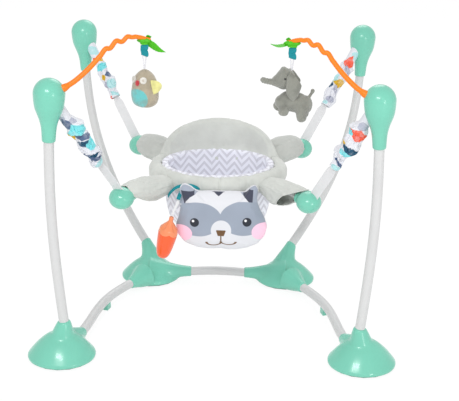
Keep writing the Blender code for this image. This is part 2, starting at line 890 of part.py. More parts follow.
def arm_cover(corner):
    """Make the soft cover of one arm, which swells from the ring cover and laps over the ball."""
    start, end = arm_path(corner)
    rear = CORNERS[corner][1] > 0
    size = ARM_COVER_REAR_RADIUS if rear else ARM_COVER_FRONT_RADIUS
    lift = ARM_COVER_REAR_LIFT if rear else ARM_COVER_FRONT_LIFT
    run = end - start
    along = run.normalized()
    across = along.cross(Vector((0, 0, 1))).normalized()
    sides = 12
    reach = ARM_COVER_REAR_REACH if rear else 1.0
    stations = ((0.02, 0.90, 0.6), (0.25, 1.00, 0.9), (0.52, 1.04, 1.0), (0.80, 1.0, 0.9), (0.98, 0.84, 0.8))
    rings = []
    for share, swell, rise in stations:
        middle = start + run * share * reach + Vector((0, 0, lift * rise))
        ring = []
        for step in range(sides):
            angle = 2 * math.pi * step / sides
            width = size * swell * 1.06 * math.cos(angle)
            height = size * swell * math.sin(angle)
            if height < 0:
                height *= 0.92
            ring.append(middle + across * width + Vector((0, 0, height)))
        rings.append(ring)
    body = loft(f"arm_cover_{corner}", rings)
    radius = ARM_DIAMETER / 2 + SOFT_GAP
    bore = drum("bore", start - along * size * 0.5, end, radius, radius, 10)
    body = cut(body, cover_envelope(), ball(corner, SOFT_GAP), strap(corner, SOFT_GAP), bore)
    heading = math.atan2(along.y, along.x)
    opening = (run.length * 2, 2 * radius, size * 1.6)
    under = start.lerp(end, 0.75) - Vector((0, 0, opening[2] / 2))
    body = cut(body, block("opening", under, opening, Matrix.Rotation(heading, 4, "Z")))
    if rear:
        body = cut(body, back_shape(SOFT_GAP))
    return body


def back_shape(grow=0.0):
    """Make the whole crescent of the back panel, or its clearance."""
    rings = []
    steps = 12
    sides = 10
    reach = BACK_HALF_ANGLE + math.degrees(2 * grow / RING_WIDTH)
    for step in range(steps + 1):
        share = 2 * step / steps - 1
        angle = 90 - reach * share
        swell = math.sqrt(max(0.0, 1 - share**2))
        top = PAD_HEIGHT * 0.53 + BACK_HEIGHT * swell + grow
        low = PAD_HEIGHT * 0.18 - grow
        thick = BACK_THICKNESS / 2 * (0.45 + 0.55 * swell) + grow
        ring = []
        for side in range(sides):
            around = 2 * math.pi * side / sides
            height = lerp(low, top, 0.5 + 0.5 * math.sin(around))
            lean = 0.10 * (height - low)
            out = RING_WIDTH / 2 + lean + thick * math.cos(around)
            ring.append(ring_point(angle, out, SEAT_Z + height))
        rings.append(ring)
    return loft("back_panel", rings)


def back_panel():
    """Make the padded panel that stands on the back of the ring."""
    return cut(back_shape(), cover_envelope())


def pocket():
    """Make the fabric seat pocket with its two leg holes."""
    inner_edge = RING_WIDTH / 2 - PAD_WIDTH / 2 - SOFT_GAP
    top = SEAT_Z + PAD_HEIGHT * 0.37
    shape = ((1.0, 0.0), (1.0, 0.42), (0.985, 0.60), (0.93, 0.75), (0.79, 0.87), (0.50, 0.96), (0.0, 1.0))
    outer = [(inner_edge * width, top - POCKET_DEPTH * drop) for width, drop in shape]
    inner_depth = POCKET_DEPTH - POCKET_WALL
    inner = [((inner_edge - POCKET_WALL) * width, top - inner_depth * drop) for width, drop in shape]
    body = oval(turned("seat_pocket", [*reversed(inner), *outer], 22))
    for side in (-1, 1):
        mouth = Vector((side * LEG_HOLE_X * 1.5, -RING_WIDTH * RING_ASPECT / 2, LEG_HOLE_Z - LEG_HOLE_DIAMETER * 0.48))
        inside = Vector((side * LEG_HOLE_X * 0.5, 0.0, LEG_HOLE_Z))
        radius = LEG_HOLE_DIAMETER / 2
        body = cut(body, drum("leg_hole", inside, mouth, radius, radius, 16))
    body.name = "seat_pocket"
    return body


def face_outline():
    """Return the outline of the padded face about its middle, left half mirrored."""
    half_width = FACE_WIDTH / 2
    half_height = FACE_HEIGHT / 2
    shares = (
        (0.00, 1.00), (0.25, 1.00), (0.48, 0.98), (0.62, 1.10), (0.75, 1.17), (0.81, 1.02),
        (0.80, 0.62), (0.86, 0.38), (0.95, 0.08), (1.00, -0.25), (0.94, -0.55), (0.78, -0.80),
        (0.55, -0.94), (0.28, -1.00),
    )
    right = [(half_width * x, half_height * z) for x, z in shares]
    bottom = [(0.0, -half_height)]
    left = [(-x, z) for x, z in reversed(right[1:])]
    return [*right, *bottom, *left]


def face_pad():
    """Make the padded animal face, crowned front and back."""
    outline = face_outline()
    levels = ((0.55, 1.0), (0.80, 0.86), (0.94, 0.55), (1.0, 0.0), (0.94, -0.55), (0.80, -0.86), (0.55, -1.0))
    rings = []
    for size, depth in levels:
        y = FACE_Y - FACE_THICKNESS / 2 * depth
        rings.append([(FACE_X + x * size, y, FACE_Z + z * size) for x, z in outline])
    body = loft("face_pad", rings)
    return cut(body, cover_envelope())


def carrot_axis():
    """Return the top of the carrot and the direction in which it hangs."""
    tilt = math.radians(CARROT_TILT)
    top = Vector((CARROT_X, CARROT_Y, CARROT_HOOK_Z - CARROT_STRAP_LENGTH))
    return top, Vector((-math.sin(tilt), 0.0, -math.cos(tilt)))


def band(name, points, widths, thickness):
    """Make a flat ribbon along points, its width level and its ends narrowed in thickness."""
    rings = []
    last = len(points) - 1
    for index, (point, width) in enumerate(zip(points, widths)):
        ahead = points[min(index + 1, last)] - points[max(index - 1, 0)]
        heading = ahead.normalized()
        across = (Vector((1, 0, 0)) - heading * heading.x).normalized()
        normal = heading.cross(across).normalized()
        half = across * (width / 2)
        thick = normal * (thickness / 2 * (0.4 if index in (0, last) else 1.0))
        rings.append([point + half + thick, point - half + thick, point - half - thick, point + half - thick])
    return loft(name, rings)


def carrot_hook():
    """Return the pivot at the top of the carrot's strap."""
    return Vector((CARROT_HOOK_X, CARROT_HOOK_Y, CARROT_HOOK_Z))


def carrot_loop():
    """Make the ribbon that comes from the ring cover past the face's ear."""
    hook = carrot_hook()
    outer = RING_WIDTH / 2 + PAD_WIDTH / 2
    surface_y = -RING_ASPECT * math.sqrt(outer**2 - (CARROT_HOOK_X + 0.008) ** 2)
    start = Vector((CARROT_HOOK_X + 0.008, surface_y + 0.006, SEAT_Z - 0.006))
    end = hook + Vector((0, 0, CARROT_BAND_THICKNESS / 2 + GAP))
    knee = end + Vector((0.001, 0.0030, 0.008))
    points = [start, start.lerp(knee, 0.5) + Vector((0, 0, 0.003)), knee, end]
    widths = [CARROT_LOOP_WIDTH] * 4
    return cut(band("carrot_loop", points, widths, CARROT_BAND_THICKNESS), cover_envelope())


def carrot_strap():
    """Make the white strap from the ribbon to the carrot."""
    top, axis = carrot_axis()
    hook = carrot_hook()
    first = hook + (top - hook).normalized() * (CARROT_BAND_THICKNESS / 2)
    points = [hook, first, top - axis * (CARROT_PIVOT_ABOVE + 0.002), top - axis * SOFT_GAP]
    widths = [CARROT_STRAP_WIDTH, CARROT_STRAP_WIDTH, CARROT_STRAP_WIDTH * 0.8, CARROT_STRAP_WIDTH * 0.25]
    return band("carrot_strap", points, widths, CARROT_BAND_THICKNESS)


def carrot_sway_pivot():
    """Return the pivot between the strap's end and the carrot."""
    top, axis = carrot_axis()
    return top - axis * CARROT_PIVOT_ABOVE


def carrot():
    """Make the carrot's smooth lower body and its faceted cap."""
    top, axis = carrot_axis()
    neck = 0.020
    cap_length = 0.026
    body_top = neck + cap_length
    rest = CARROT_LENGTH - body_top
    body = [(0.0, CARROT_LENGTH), (CARROT_RADIUS * 0.40, CARROT_LENGTH - 0.004),
            (CARROT_RADIUS * 0.70, CARROT_LENGTH - 0.018), (CARROT_RADIUS * 0.90, body_top + rest * 0.35),
            (CARROT_RADIUS, body_top + 0.006), (CARROT_RADIUS * 0.97, body_top + GAP), (0.0, body_top + GAP)]
    crown = [(0.0, body_top), (CARROT_RADIUS * 0.98, body_top), (CARROT_RADIUS * 0.95, body_top - 0.008),
             (CARROT_RADIUS * 0.40, neck), (CARROT_RADIUS * 0.20, neck - 0.006),
             (CARROT_RADIUS * 0.20, 0.0), (0.0, 0.0)]
    place = aligned(top, axis)
    lower = moved(turned("carrot_body", body, 16), place)
    upper = moved(turned("carrot_cap", crown, 16), place)
    return lower, upper


def bar_path(side):
    """Return the middle line of a toy bar and its radii, from its peg to its tip."""
    centre = Vector((side * FRONT_TOP_X, FRONT_TOP_Y, TOP_Z))
    entry = Vector((-side * 0.92, 0.0, 0.39)).normalized()
    mouth = centre + entry * (CAP_RADIUS + 0.002)
    reach = LEFT_BAR_TIP_X if side < 0 else RIGHT_BAR_TIP_X
    tip = Vector((side * reach, BAR_TIP_Y, mouth.z + BAR_RISE))
    heights = ((0.00, 0.00), (0.134, 0.15), (0.28, 0.38), (0.39, 0.59), (0.493, 0.81), (0.557, 0.87),
               (0.635, 0.99), (0.716, 1.01), (0.787, 1.085), (0.906, 1.06), (1.00, 1.00))
    controls = []
    for share, rise in heights:
        point = mouth.lerp(tip, share)
        point.z = mouth.z + BAR_RISE * rise
        controls.append(point)
    path = smooth(controls, 2)
    path.insert(0, centre + entry * (CAP_RADIUS - BAR_PEG_DEPTH))
    radii = []
    last = len(path) - 1
    for index in range(len(path)):
        share = index / last
        flare = (BAR_BASE_RADIUS - BAR_RADIUS) * max(0.0, 1 - share / 0.15)
        slim = (BAR_RADIUS - BAR_TIP_RADIUS) * share
        radii.append(BAR_RADIUS + flare - slim)
    radii[0] = radii[1]
    return path, radii


def toy_bar(side, name):
    """Make a wavy toy bar."""
    path, radii = bar_path(side)
    return swept(name, path, radii, 1)


def bar_cutter(side):
    """Make the clearance of a toy bar in the pieces that hold it."""
    path, radii = bar_path(side)
    grown = [radii[0] + GAP, *[radius + GAP for radius in radii], radii[-1] + GAP]
    return swept("bar_hole", extended(path, GAP, GAP), grown, 1)


def clip_point(side):
    """Return the middle of the clip's cup top, on the bar near its tip."""
    path, _ = bar_path(side)
    return path[-2].lerp(path[-1], 0.3)


def leaf_clip(side, name):
    """Make the leaf clip: a cup under the bar's tip with one long leaf."""
    top = clip_point(side)
    foot = 0.004 - CLIP_CUP_LENGTH
    profile = [(0.0, 0.0085), (CLIP_CUP_RADIUS * 0.45, 0.0065), (CLIP_CUP_RADIUS * 0.95, -0.001),
               (CLIP_CUP_RADIUS, -0.004), (CLIP_FOOT_RADIUS * 1.25, foot + 0.005), (CLIP_FOOT_RADIUS, foot), (0.0, foot)]
    flat = Matrix.Diagonal((1.0, CLIP_CUP_DEPTH / (2 * CLIP_CUP_RADIUS), 1.0, 1.0))
    body = moved(turned(name, profile, 12), Matrix.Translation(top) @ flat)
    if side < 0:
        direction = Vector((0.78, 0.05, -0.62)).normalized()
        across = Vector((0.55, -0.35, 0.75))
    else:
        direction = Vector((-0.99, 0.05, -0.06)).normalized()
        across = Vector((0.0, 1.0, 0.08))
    across = (across - direction * across.dot(direction)).normalized()
    upward = across.cross(direction).normalized()
    rings = []
    steps = 6
    for step in range(steps + 1):
        share = step / steps
        half = max(0.0016, LEAF_WIDTH / 2 * math.sin(math.pi * (0.10 + 0.88 * share) ** 0.85))
        arch = 0.004 * math.sin(2 * math.pi * share)
        middle = top + direction * (0.004 + (LEAF_LENGTH - 0.004) * share) + upward * arch
        lift = upward * (LEAF_THICKNESS / 2)
        rings.append([middle + across * half - lift, middle + across * half + lift,
                      middle - across * half + lift, middle - across * half - lift])
    body = cut(join(body, loft("leaf", rings)), bar_cutter(side))
    body.name = name
    return body


def hanger_top(side):
    """Return the pivot at the top of a toy's ribbon."""
    low = clip_point(side) - Vector((0, 0, CLIP_CUP_LENGTH - 0.004))
    return low - Vector((0, 0, GAP + RIBBON_THICKNESS / 2))


def hang_length(side):
    """Return the length of a toy's clear strap below its ribbon."""
    return BIRD_HANG_LENGTH if side < 0 else ELEPHANT_HANG_LENGTH


def hang_strap(side, name):
    """Make a toy's ribbon with the tapered clear strap sewn into it."""
    top = hanger_top(side)
    thick = RIBBON_THICKNESS / 2
    foot = RIBBON_LENGTH + hang_length(side)
    end = HANG_END_WIDTH / 2
    stations = (
        (-thick, RIBBON_WIDTH / 2 - 0.0005, thick * 0.4), (-thick * 0.2, RIBBON_WIDTH / 2, thick),
        (RIBBON_LENGTH, RIBBON_WIDTH / 2, thick), (RIBBON_LENGTH + 0.001, HANG_WIDTH / 2, thick),
        (foot, end, thick), (foot + end * 0.7, end * 0.7, thick), (foot + end, end * 0.1, thick),
    )
    rings = []
    for drop, half, depth in stations:
        z = top.z - drop
        rings.append([(top.x + half, top.y - depth, z), (top.x + half, top.y + depth, z),
                      (top.x - half, top.y + depth, z), (top.x - half, top.y - depth, z)])
    return loft(name, rings)


def sway_pivot(side):
    """Return the pivot between a strap's rounded end and its toy."""
    return hanger_top(side) - Vector((0, 0, RIBBON_LENGTH + hang_length(side)))


def crown(side):
    """Return the top of a toy, a clearance below the strap's end."""
    return sway_pivot(side) - Vector((0, 0, HANG_END_WIDTH / 2 + GAP))


def bird():
    """Make the plush bird: an egg-shaped body and a pointed wing."""
    top = crown(-1)
    shape = ((0.04, 0.30), (0.12, 0.58), (0.24, 0.80), (0.42, 0.92), (0.60, 1.00), (0.76, 0.98), (0.90, 0.80), (0.97, 0.52))
    profile = [(0.0, 0.0)]
    profile += [(BIRD_WIDTH / 2 * width, -BIRD_HEIGHT * drop) for drop, width in shape]
    profile.append((0.0, -BIRD_HEIGHT))
    body = turned("bird_body", profile, 16)
    body = moved(body, Matrix.Translation(top) @ Matrix.Diagonal((1.0, BIRD_DEPTH / BIRD_WIDTH, 1.0, 1.0)))
    root = top + Vector((BIRD_WIDTH * 0.27, -BIRD_DEPTH * 0.20, -BIRD_HEIGHT * 0.44))
    tip = top + Vector((BIRD_WIDTH * 0.70, -BIRD_DEPTH * 0.12, -BIRD_HEIGHT * 0.45))
    rings = []
    for share, size, thick in ((0.0, 0.19, 0.10), (0.35, 0.167, 0.108), (0.75, 0.081, 0.092), (1.0, 0.029, 0.047)):
        middle = root.lerp(tip, share)
        ring = []
        for step in range(8):
            angle = 2 * math.pi * step / 8
            ring.append(middle + Vector((0.0, BIRD_DEPTH * thick * math.cos(angle), BIRD_HEIGHT * size * math.sin(angle))))
        rings.append(ring)
    wing = cut(loft("bird_wing", rings), grown_copy(body, top - Vector((0, 0, BIRD_HEIGHT / 2)), SOFT_GAP, BIRD_WIDTH / 2))
    return body, wing


def grown_copy(source, centre, gap, radius):
    """Copy a solid, enlarged about a point by a gap at the given radius."""
    twin = link("grown", source.data.copy())
    scale = 1 + gap / radius * 1.6
    grow = Matrix.Translation(centre) @ Matrix.Scale(scale, 4) @ Matrix.Translation(-Vector(centre))
    return moved(twin, grow)


def elephant():
    """Make the plush elephant: a body with legs and tail, and a head with trunk and ears."""
    top = crown(1)
    tilt = Matrix.Rotation(math.radians(ELEPHANT_BODY_TILT), 4, "Y")
    long, wide, high = ELEPHANT_BODY_LENGTH, ELEPHANT_BODY_WIDTH, ELEPHANT_BODY_HEIGHT
    body_centre = top + Vector((long * 0.09, 0.0, -high * 1.526))
    body = ellipsoid("elephant_body", body_centre, (long / 2, wide / 2, high / 2), 14, 8, tilt)
    thick = ELEPHANT_LEG_RADIUS
    for depth in (-1, 1):
        reach = depth * wide * 0.24
        for across, drop in ((-0.32, 0.36), (0.234, 0.50)):
            toe = body_centre + Vector((long * across - thick * 0.11 * depth, reach * 1.15, -high * drop))
            hip = body_centre + Vector((long * across * 0.8, reach, -high * 0.07))
            body = join(body, limb("leg", [hip, toe], [thick * 0.9, thick]))
    rump = body_centre + Vector((long * 0.40, 0.0, high * 0.10))
    tail = [rump, rump + Vector((high * 0.17, 0, high * 0.21)), rump + Vector((high * 0.22, 0, high * 0.45))]
    body = join(body, limb("tail", tail, [thick * 0.26, thick * 0.18, thick * 0.30]))
    wide, high = ELEPHANT_HEAD_WIDTH, ELEPHANT_HEAD_HEIGHT
    head_centre = top + Vector((-wide * 0.32, 0.0, -high * 0.405))
    turn = Matrix.Rotation(math.radians(25), 4, "Y")
    head = ellipsoid("elephant_head", head_centre, (wide / 2, wide * 0.42, high / 2), 14, 8, turn)
    trunk = [head_centre + Vector((wide * across, -wide * 0.04, high * rise))
             for across, rise in ((-0.26, -0.09), (-0.55, -0.07), (-0.935, 0.015))]
    head = join(head, limb("trunk", trunk, [wide * 0.226, wide * 0.137, wide * 0.137]))
    lean = Matrix.Rotation(math.radians(16), 4, "Y")
    for depth in (-1, 1):
        ear_centre = head_centre + Vector((wide * 0.42, depth * wide * 0.33, -high * 0.19))
        radii = (ELEPHANT_EAR_WIDTH / 2, ELEPHANT_EAR_WIDTH * 0.20, ELEPHANT_EAR_HEIGHT / 2)
        head = join(head, ellipsoid("ear", ear_centre, radii, 10, 7, lean))
    head = cut(head, grown_copy(body, body_centre, SOFT_GAP, ELEPHANT_BODY_WIDTH / 2))
    body.name = "elephant_body"
    head.name = "elephant_head"
    return body, head


def limb(name, points, radii):
    """Make a soft limb of changing thickness along points, with rounded ends."""
    path = smooth(points, 2)
    widths = []
    spans = len(points) - 1
    for index in range(len(path)):
        place = index / 2
        low = min(int(place), spans - 1)
        widths.append(lerp(radii[low], radii[low + 1], place - low))
    start = path[0] - (path[1] - path[0]).normalized() * widths[0] * 0.6
    end = path[-1] + (path[-1] - path[-2]).normalized() * widths[-1] * 0.6
    points = [start, *path, end]
    radii = [widths[0] * 0.55, *widths, widths[-1] * 0.55]
    return swept(name, points, radii, 1)


def bumper(side, name):
    """Make the small foot clipped under a side tube."""
    path = side_path(side)
    place = BUMPER_SHARE * (len(path) - 1)
    low = int(place)
    middle = path[low].lerp(path[low + 1], place - low)
    heading = path[low + 1] - path[low]
    turn = Matrix.Rotation(math.atan2(heading.y, heading.x), 4, "Z")
    body = block(name, (middle.x, middle.y, SIDE_TUBE_Z / 2), (BUMPER_LENGTH, BUMPER_WIDTH, SIDE_TUBE_Z), turn)
    return cut(body, tube_bore(side_tube_path(side)))


def main():
    """Build the jumper."""
    for old in list(bpy.data.objects):
        bpy.data.objects.remove(old)
    pieces = []

    def keep(piece, finish, parent="root"):
        piece.data.materials.clear()
        piece.data.materials.append(finish)
        piece.data.shade_smooth()
        piece.data.set_sharp_from_angle(angle=math.radians(32))
        pieces.append((piece, parent))
        return piece

    mint = material("mint_gloss", MINT, 0.25)
    tube_paint = material("white_paint", WHITE, 0.35, 0.1)
    rubber = material("sole_rubber", RUBBER, 0.80)
    steel = material("spring_steel", SPRING_STEEL, 0.30, 1.0)
    printed = material("printed_cloth", PRINT, 0.90)
    webbing = material("white_webbing", WEBBING, 0.80)
    cloth = material("pale_cloth", PALE_CLOTH, 0.90)
    chevron = material("chevron_cloth", CHEVRON, 0.90)
    face = material("face_cloth", FACE_GREY, 0.85)
    orange = material("orange_plastic", ORANGE, 0.35)
    glossy = material("red_orange_gloss", RED_ORANGE, 0.15)
    pale_orange = material("pale_orange", PALE_ORANGE, 0.35)
    green = material("leaf_green", LEAF_GREEN, 0.35)
    teal = material("teal_ribbon", TEAL, 0.70)
    brown_plush = material("brown_plush", PLUSH_BROWN, 0.95)
    grey_plush = material("grey_plush", PLUSH_GREY, 0.95)
    yellow = material("wing_yellow", WING_YELLOW, 0.90)

    foot = keep(front_foot(), mint)
    keep(mirrored(foot, "foot_front_right"), mint)
    hub = keep(rear_hub(), mint)
    keep(mirrored(hub, "hub_rear_right"), mint)
    for side, word in ((-1, "left"), (1, "right")):
        keep(sole(f"sole_front_{word}", (side * FOOT_X, FOOT_Y)), rubber)
        keep(sole(f"sole_rear_{word}", (side * HUB_X, HUB_Y)), rubber)
        keep(hollow_tube(f"side_tube_{word}", side_tube_path(side), TUBE_DIAMETER, TUBE_WALL), tube_paint)
        keep(bumper(side, f"side_foot_{word}"), mint)
    keep(hollow_tube("cross_tube", cross_tube_path(), TUBE_DIAMETER, TUBE_WALL), tube_paint)

    for corner, (side, depth) in CORNERS.items():
        keep(hollow_tube(f"post_{corner}", post_path(corner), TUBE_DIAMETER, TUBE_WALL), tube_paint)
        top_cap = cap(corner)
        if depth < 0:
            top_cap = cut(top_cap, bar_cutter(side))
        keep(top_cap, mint)
        keep(spring(corner), steel)
        keep(sleeve(corner), printed)
        keep(strap(corner), webbing, "seat")
        keep(drilled_ball(corner), mint, "seat")
        keep(arm_cover(corner), cloth, "seat")

    keep(seat_ring(), tube_paint, "seat")
    keep(ring_cover(), cloth, "seat")
    keep(back_panel(), cloth, "seat")
    keep(pocket(), chevron, "seat")
    keep(face_pad(), face, "seat")
    keep(carrot_loop(), teal, "seat")
    keep(carrot_strap(), webbing, "carrot_swing")
    lower, upper = carrot()
    keep(lower, glossy, "carrot_sway")
    keep(upper, pale_orange, "carrot_sway")

    for side, word in ((-1, "left"), (1, "right")):
        keep(toy_bar(side, f"toy_bar_{word}"), orange)
        keep(leaf_clip(side, f"leaf_clip_{word}"), green)
    for side, toy in ((-1, "bird"), (1, "elephant")):
        keep(hang_strap(side, f"{toy}_strap"), teal, f"{toy}_swing")
    body, wing = bird()
    keep(body, brown_plush, "bird_sway")
    keep(wing, yellow, "bird_sway")
    body, head = elephant()
    keep(body, grey_plush, "elephant_sway")
    keep(head, grey_plush, "elephant_sway")

    home = bpy.data.collections.new("baby_jumper")
    bpy.context.scene.collection.children.link(home)
    pivots = {
        "root": (None, Vector((0, 0, 0))),
        "seat": ("root", Vector((0, 0, SEAT_Z))),
        "carrot_swing": ("seat", carrot_hook()),
        "carrot_sway": ("carrot_swing", carrot_sway_pivot()),
        "bird_swing": ("root", hanger_top(-1)),
        "bird_sway": ("bird_swing", sway_pivot(-1)),
        "elephant_swing": ("root", hanger_top(1)),
        "elephant_sway": ("elephant_swing", sway_pivot(1)),
    }
    empties = {}
    for name, (parent, place) in pivots.items():
        marker = bpy.data.objects.new(f"pivot_{name}", None)
        home.objects.link(marker)
        marker.location = place - (pivots[parent][1] if parent else Vector((0, 0, 0)))
        marker.parent = empties.get(parent)
        empties[name] = marker
    empties["root"].location.y = ORIGIN_SHIFT_Y
    for piece, parent in pieces:
        for old in list(piece.users_collection):
            old.objects.unlink(piece)
        home.objects.link(piece)
        piece.data.transform(Matrix.Translation(-pivots[parent][1]))
        piece.parent = empties[parent]


main()
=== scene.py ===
"""Looks of the baby jumper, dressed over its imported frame.

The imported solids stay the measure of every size. Each sub-assembly below is a class that
rebuilds its pieces in full detail, gives them their finishes and lets them ride on the
body that carries them. Metres, +Z up, front towards -Y, floor at zero.
"""

import logging
from dataclasses import dataclass, field
from enum import Enum
from math import atan2, copysign, cos, exp, hypot, pi, radians, sin, sqrt
from typing import Callable, Iterable, Sequence

import bmesh
import bpy
import numpy as np
from mathutils import Matrix, Vector
from mathutils.noise import noise


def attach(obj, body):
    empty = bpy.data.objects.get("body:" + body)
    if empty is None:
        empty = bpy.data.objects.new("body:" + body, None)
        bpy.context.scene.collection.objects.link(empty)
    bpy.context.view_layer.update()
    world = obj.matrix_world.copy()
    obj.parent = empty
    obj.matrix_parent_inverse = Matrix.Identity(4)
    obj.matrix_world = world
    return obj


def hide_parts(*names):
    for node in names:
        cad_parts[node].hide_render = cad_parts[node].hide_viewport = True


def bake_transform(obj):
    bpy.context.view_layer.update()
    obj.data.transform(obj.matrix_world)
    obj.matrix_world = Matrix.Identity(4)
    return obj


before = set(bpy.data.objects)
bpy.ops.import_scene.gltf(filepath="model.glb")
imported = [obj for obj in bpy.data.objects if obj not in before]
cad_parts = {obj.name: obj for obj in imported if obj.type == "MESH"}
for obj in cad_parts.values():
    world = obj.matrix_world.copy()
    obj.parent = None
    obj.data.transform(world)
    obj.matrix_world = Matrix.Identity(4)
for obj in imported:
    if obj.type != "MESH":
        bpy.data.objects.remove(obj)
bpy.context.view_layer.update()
LOG = logging.getLogger("baby_jumper")

Shape = bmesh.types.BMesh
Thing = bpy.types.Object
Material = bpy.types.Material
Colour = tuple[float, float, float]
PerCorner = tuple[float, float, float, float]
Place = Callable[[int, int], Vector]
SHIFT_Y = 0.036
ASPECT = 0.783


def vec(x: float, y: float, z: float) -> Vector:
    """Make a vector."""
    return Vector((x, y, z))


class Corner(Enum):
    """A corner of the frame, as its side and its depth."""

    FRONT_LEFT = (-1, -1)
    FRONT_RIGHT = (1, -1)
    REAR_LEFT = (-1, 1)
    REAR_RIGHT = (1, 1)

    @property
    def word(self) -> str:
        """The corner's name as the frame's nodes spell it."""
        return self.name.lower()

    @property
    def side(self) -> int:
        """Minus one on the left, one on the right."""
        return self.value[0]

    @property
    def rear(self) -> bool:
        """Whether the corner is a rear one."""
        return self.value[1] > 0

    @property
    def cap(self) -> Vector:
        """The middle of the corner's cap."""
        x, y = (0.468, 0.401) if self.rear else (0.432, -0.4)
        return vec(self.side * x, y + SHIFT_Y, 0.765)

    @property
    def ball(self) -> Vector:
        """The middle of the ball that ends the seat's arm."""
        return vec(self.side * 0.269, self.value[1] * 0.249 + SHIFT_Y, 0.42)

    @property
    def arm(self) -> Vector:
        """The inner end of the arm that the ball sits on."""
        return vec(self.side * 0.1448, self.value[1] * 0.0951 + SHIFT_Y, 0.425)

    def hang(self) -> tuple[Vector, Vector, float]:
        """Work out the line that the spring, the sleeve and the strap hang along.

        Returns:
            The cap's middle, the unit direction down to the ball, and the length.
        """
        out = (self.cap - self.ball).to_2d().normalized() * 0.012
        run = self.ball + vec(out.x, out.y, 0.014) - self.cap
        return self.cap, run.normalized(), run.length


class Socket:
    """A shader value that plain arithmetic turns into Math nodes."""

    def __init__(self, shader: "Shader", output: bpy.types.NodeSocket) -> None:
        """Keep the shader and the output that the value comes from."""
        self.shader = shader
        self.output = output

    def math(self, operation: str, *terms: "Socket | float") -> "Socket":
        """Add a Math node.

        Args:
            operation: The node's operation.
            terms: What follows this value, in order.

        Returns:
            The node's result.
        """
        return self.shader.value("ShaderNodeMath", {"operation": operation}, dict(enumerate((self, *terms))))

    def __add__(self, other: "Socket | float") -> "Socket":
        """Add."""
        return self.math("ADD", other)

    __radd__ = __add__

    def __sub__(self, other: "Socket | float") -> "Socket":
        """Subtract."""
        return self.math("SUBTRACT", other)

    def __rsub__(self, other: float) -> "Socket":
        """Subtract from a number."""
        return self.shader.constant(other).math("SUBTRACT", self)

    def __mul__(self, other: "Socket | float") -> "Socket":
        """Multiply."""
        return self.math("MULTIPLY", other)

    __rmul__ = __mul__

    def __truediv__(self, other: "Socket | float") -> "Socket":
        """Divide."""
        return self.math("DIVIDE", other)

    def __pow__(self, other: float) -> "Socket":
        """Raise to a power."""
        return self.math("POWER", other)

    def __abs__(self) -> "Socket":
        """Drop the sign."""
        return self.math("ABSOLUTE")

    def below(self, edge: float, soft: float) -> "Socket":
        """Mask what lies below an edge.

        Args:
            edge: The value at the middle of the edge.
            soft: Half the width over which the mask fades.

        Returns:
            One below the edge and nought above it.
        """
        settings = {"interpolation_type": "SMOOTHSTEP"}
        inputs = {
            "Value": self, "From Min": edge - soft, "From Max": edge + soft, "To Min": 1.0, "To Max": 0.0}
        return self.shader.value("ShaderNodeMapRange", settings, inputs)

    def least(self, other: "Socket | float") -> "Socket":
        """Take the lesser of two values."""
        return self.math("MINIMUM", other)

    def most(self, other: "Socket | float") -> "Socket":
        """Take the greater of two values."""
        return self.math("MAXIMUM", other)

    def sine(self) -> "Socket":
        """Take the sine."""
        return self.math("SINE")


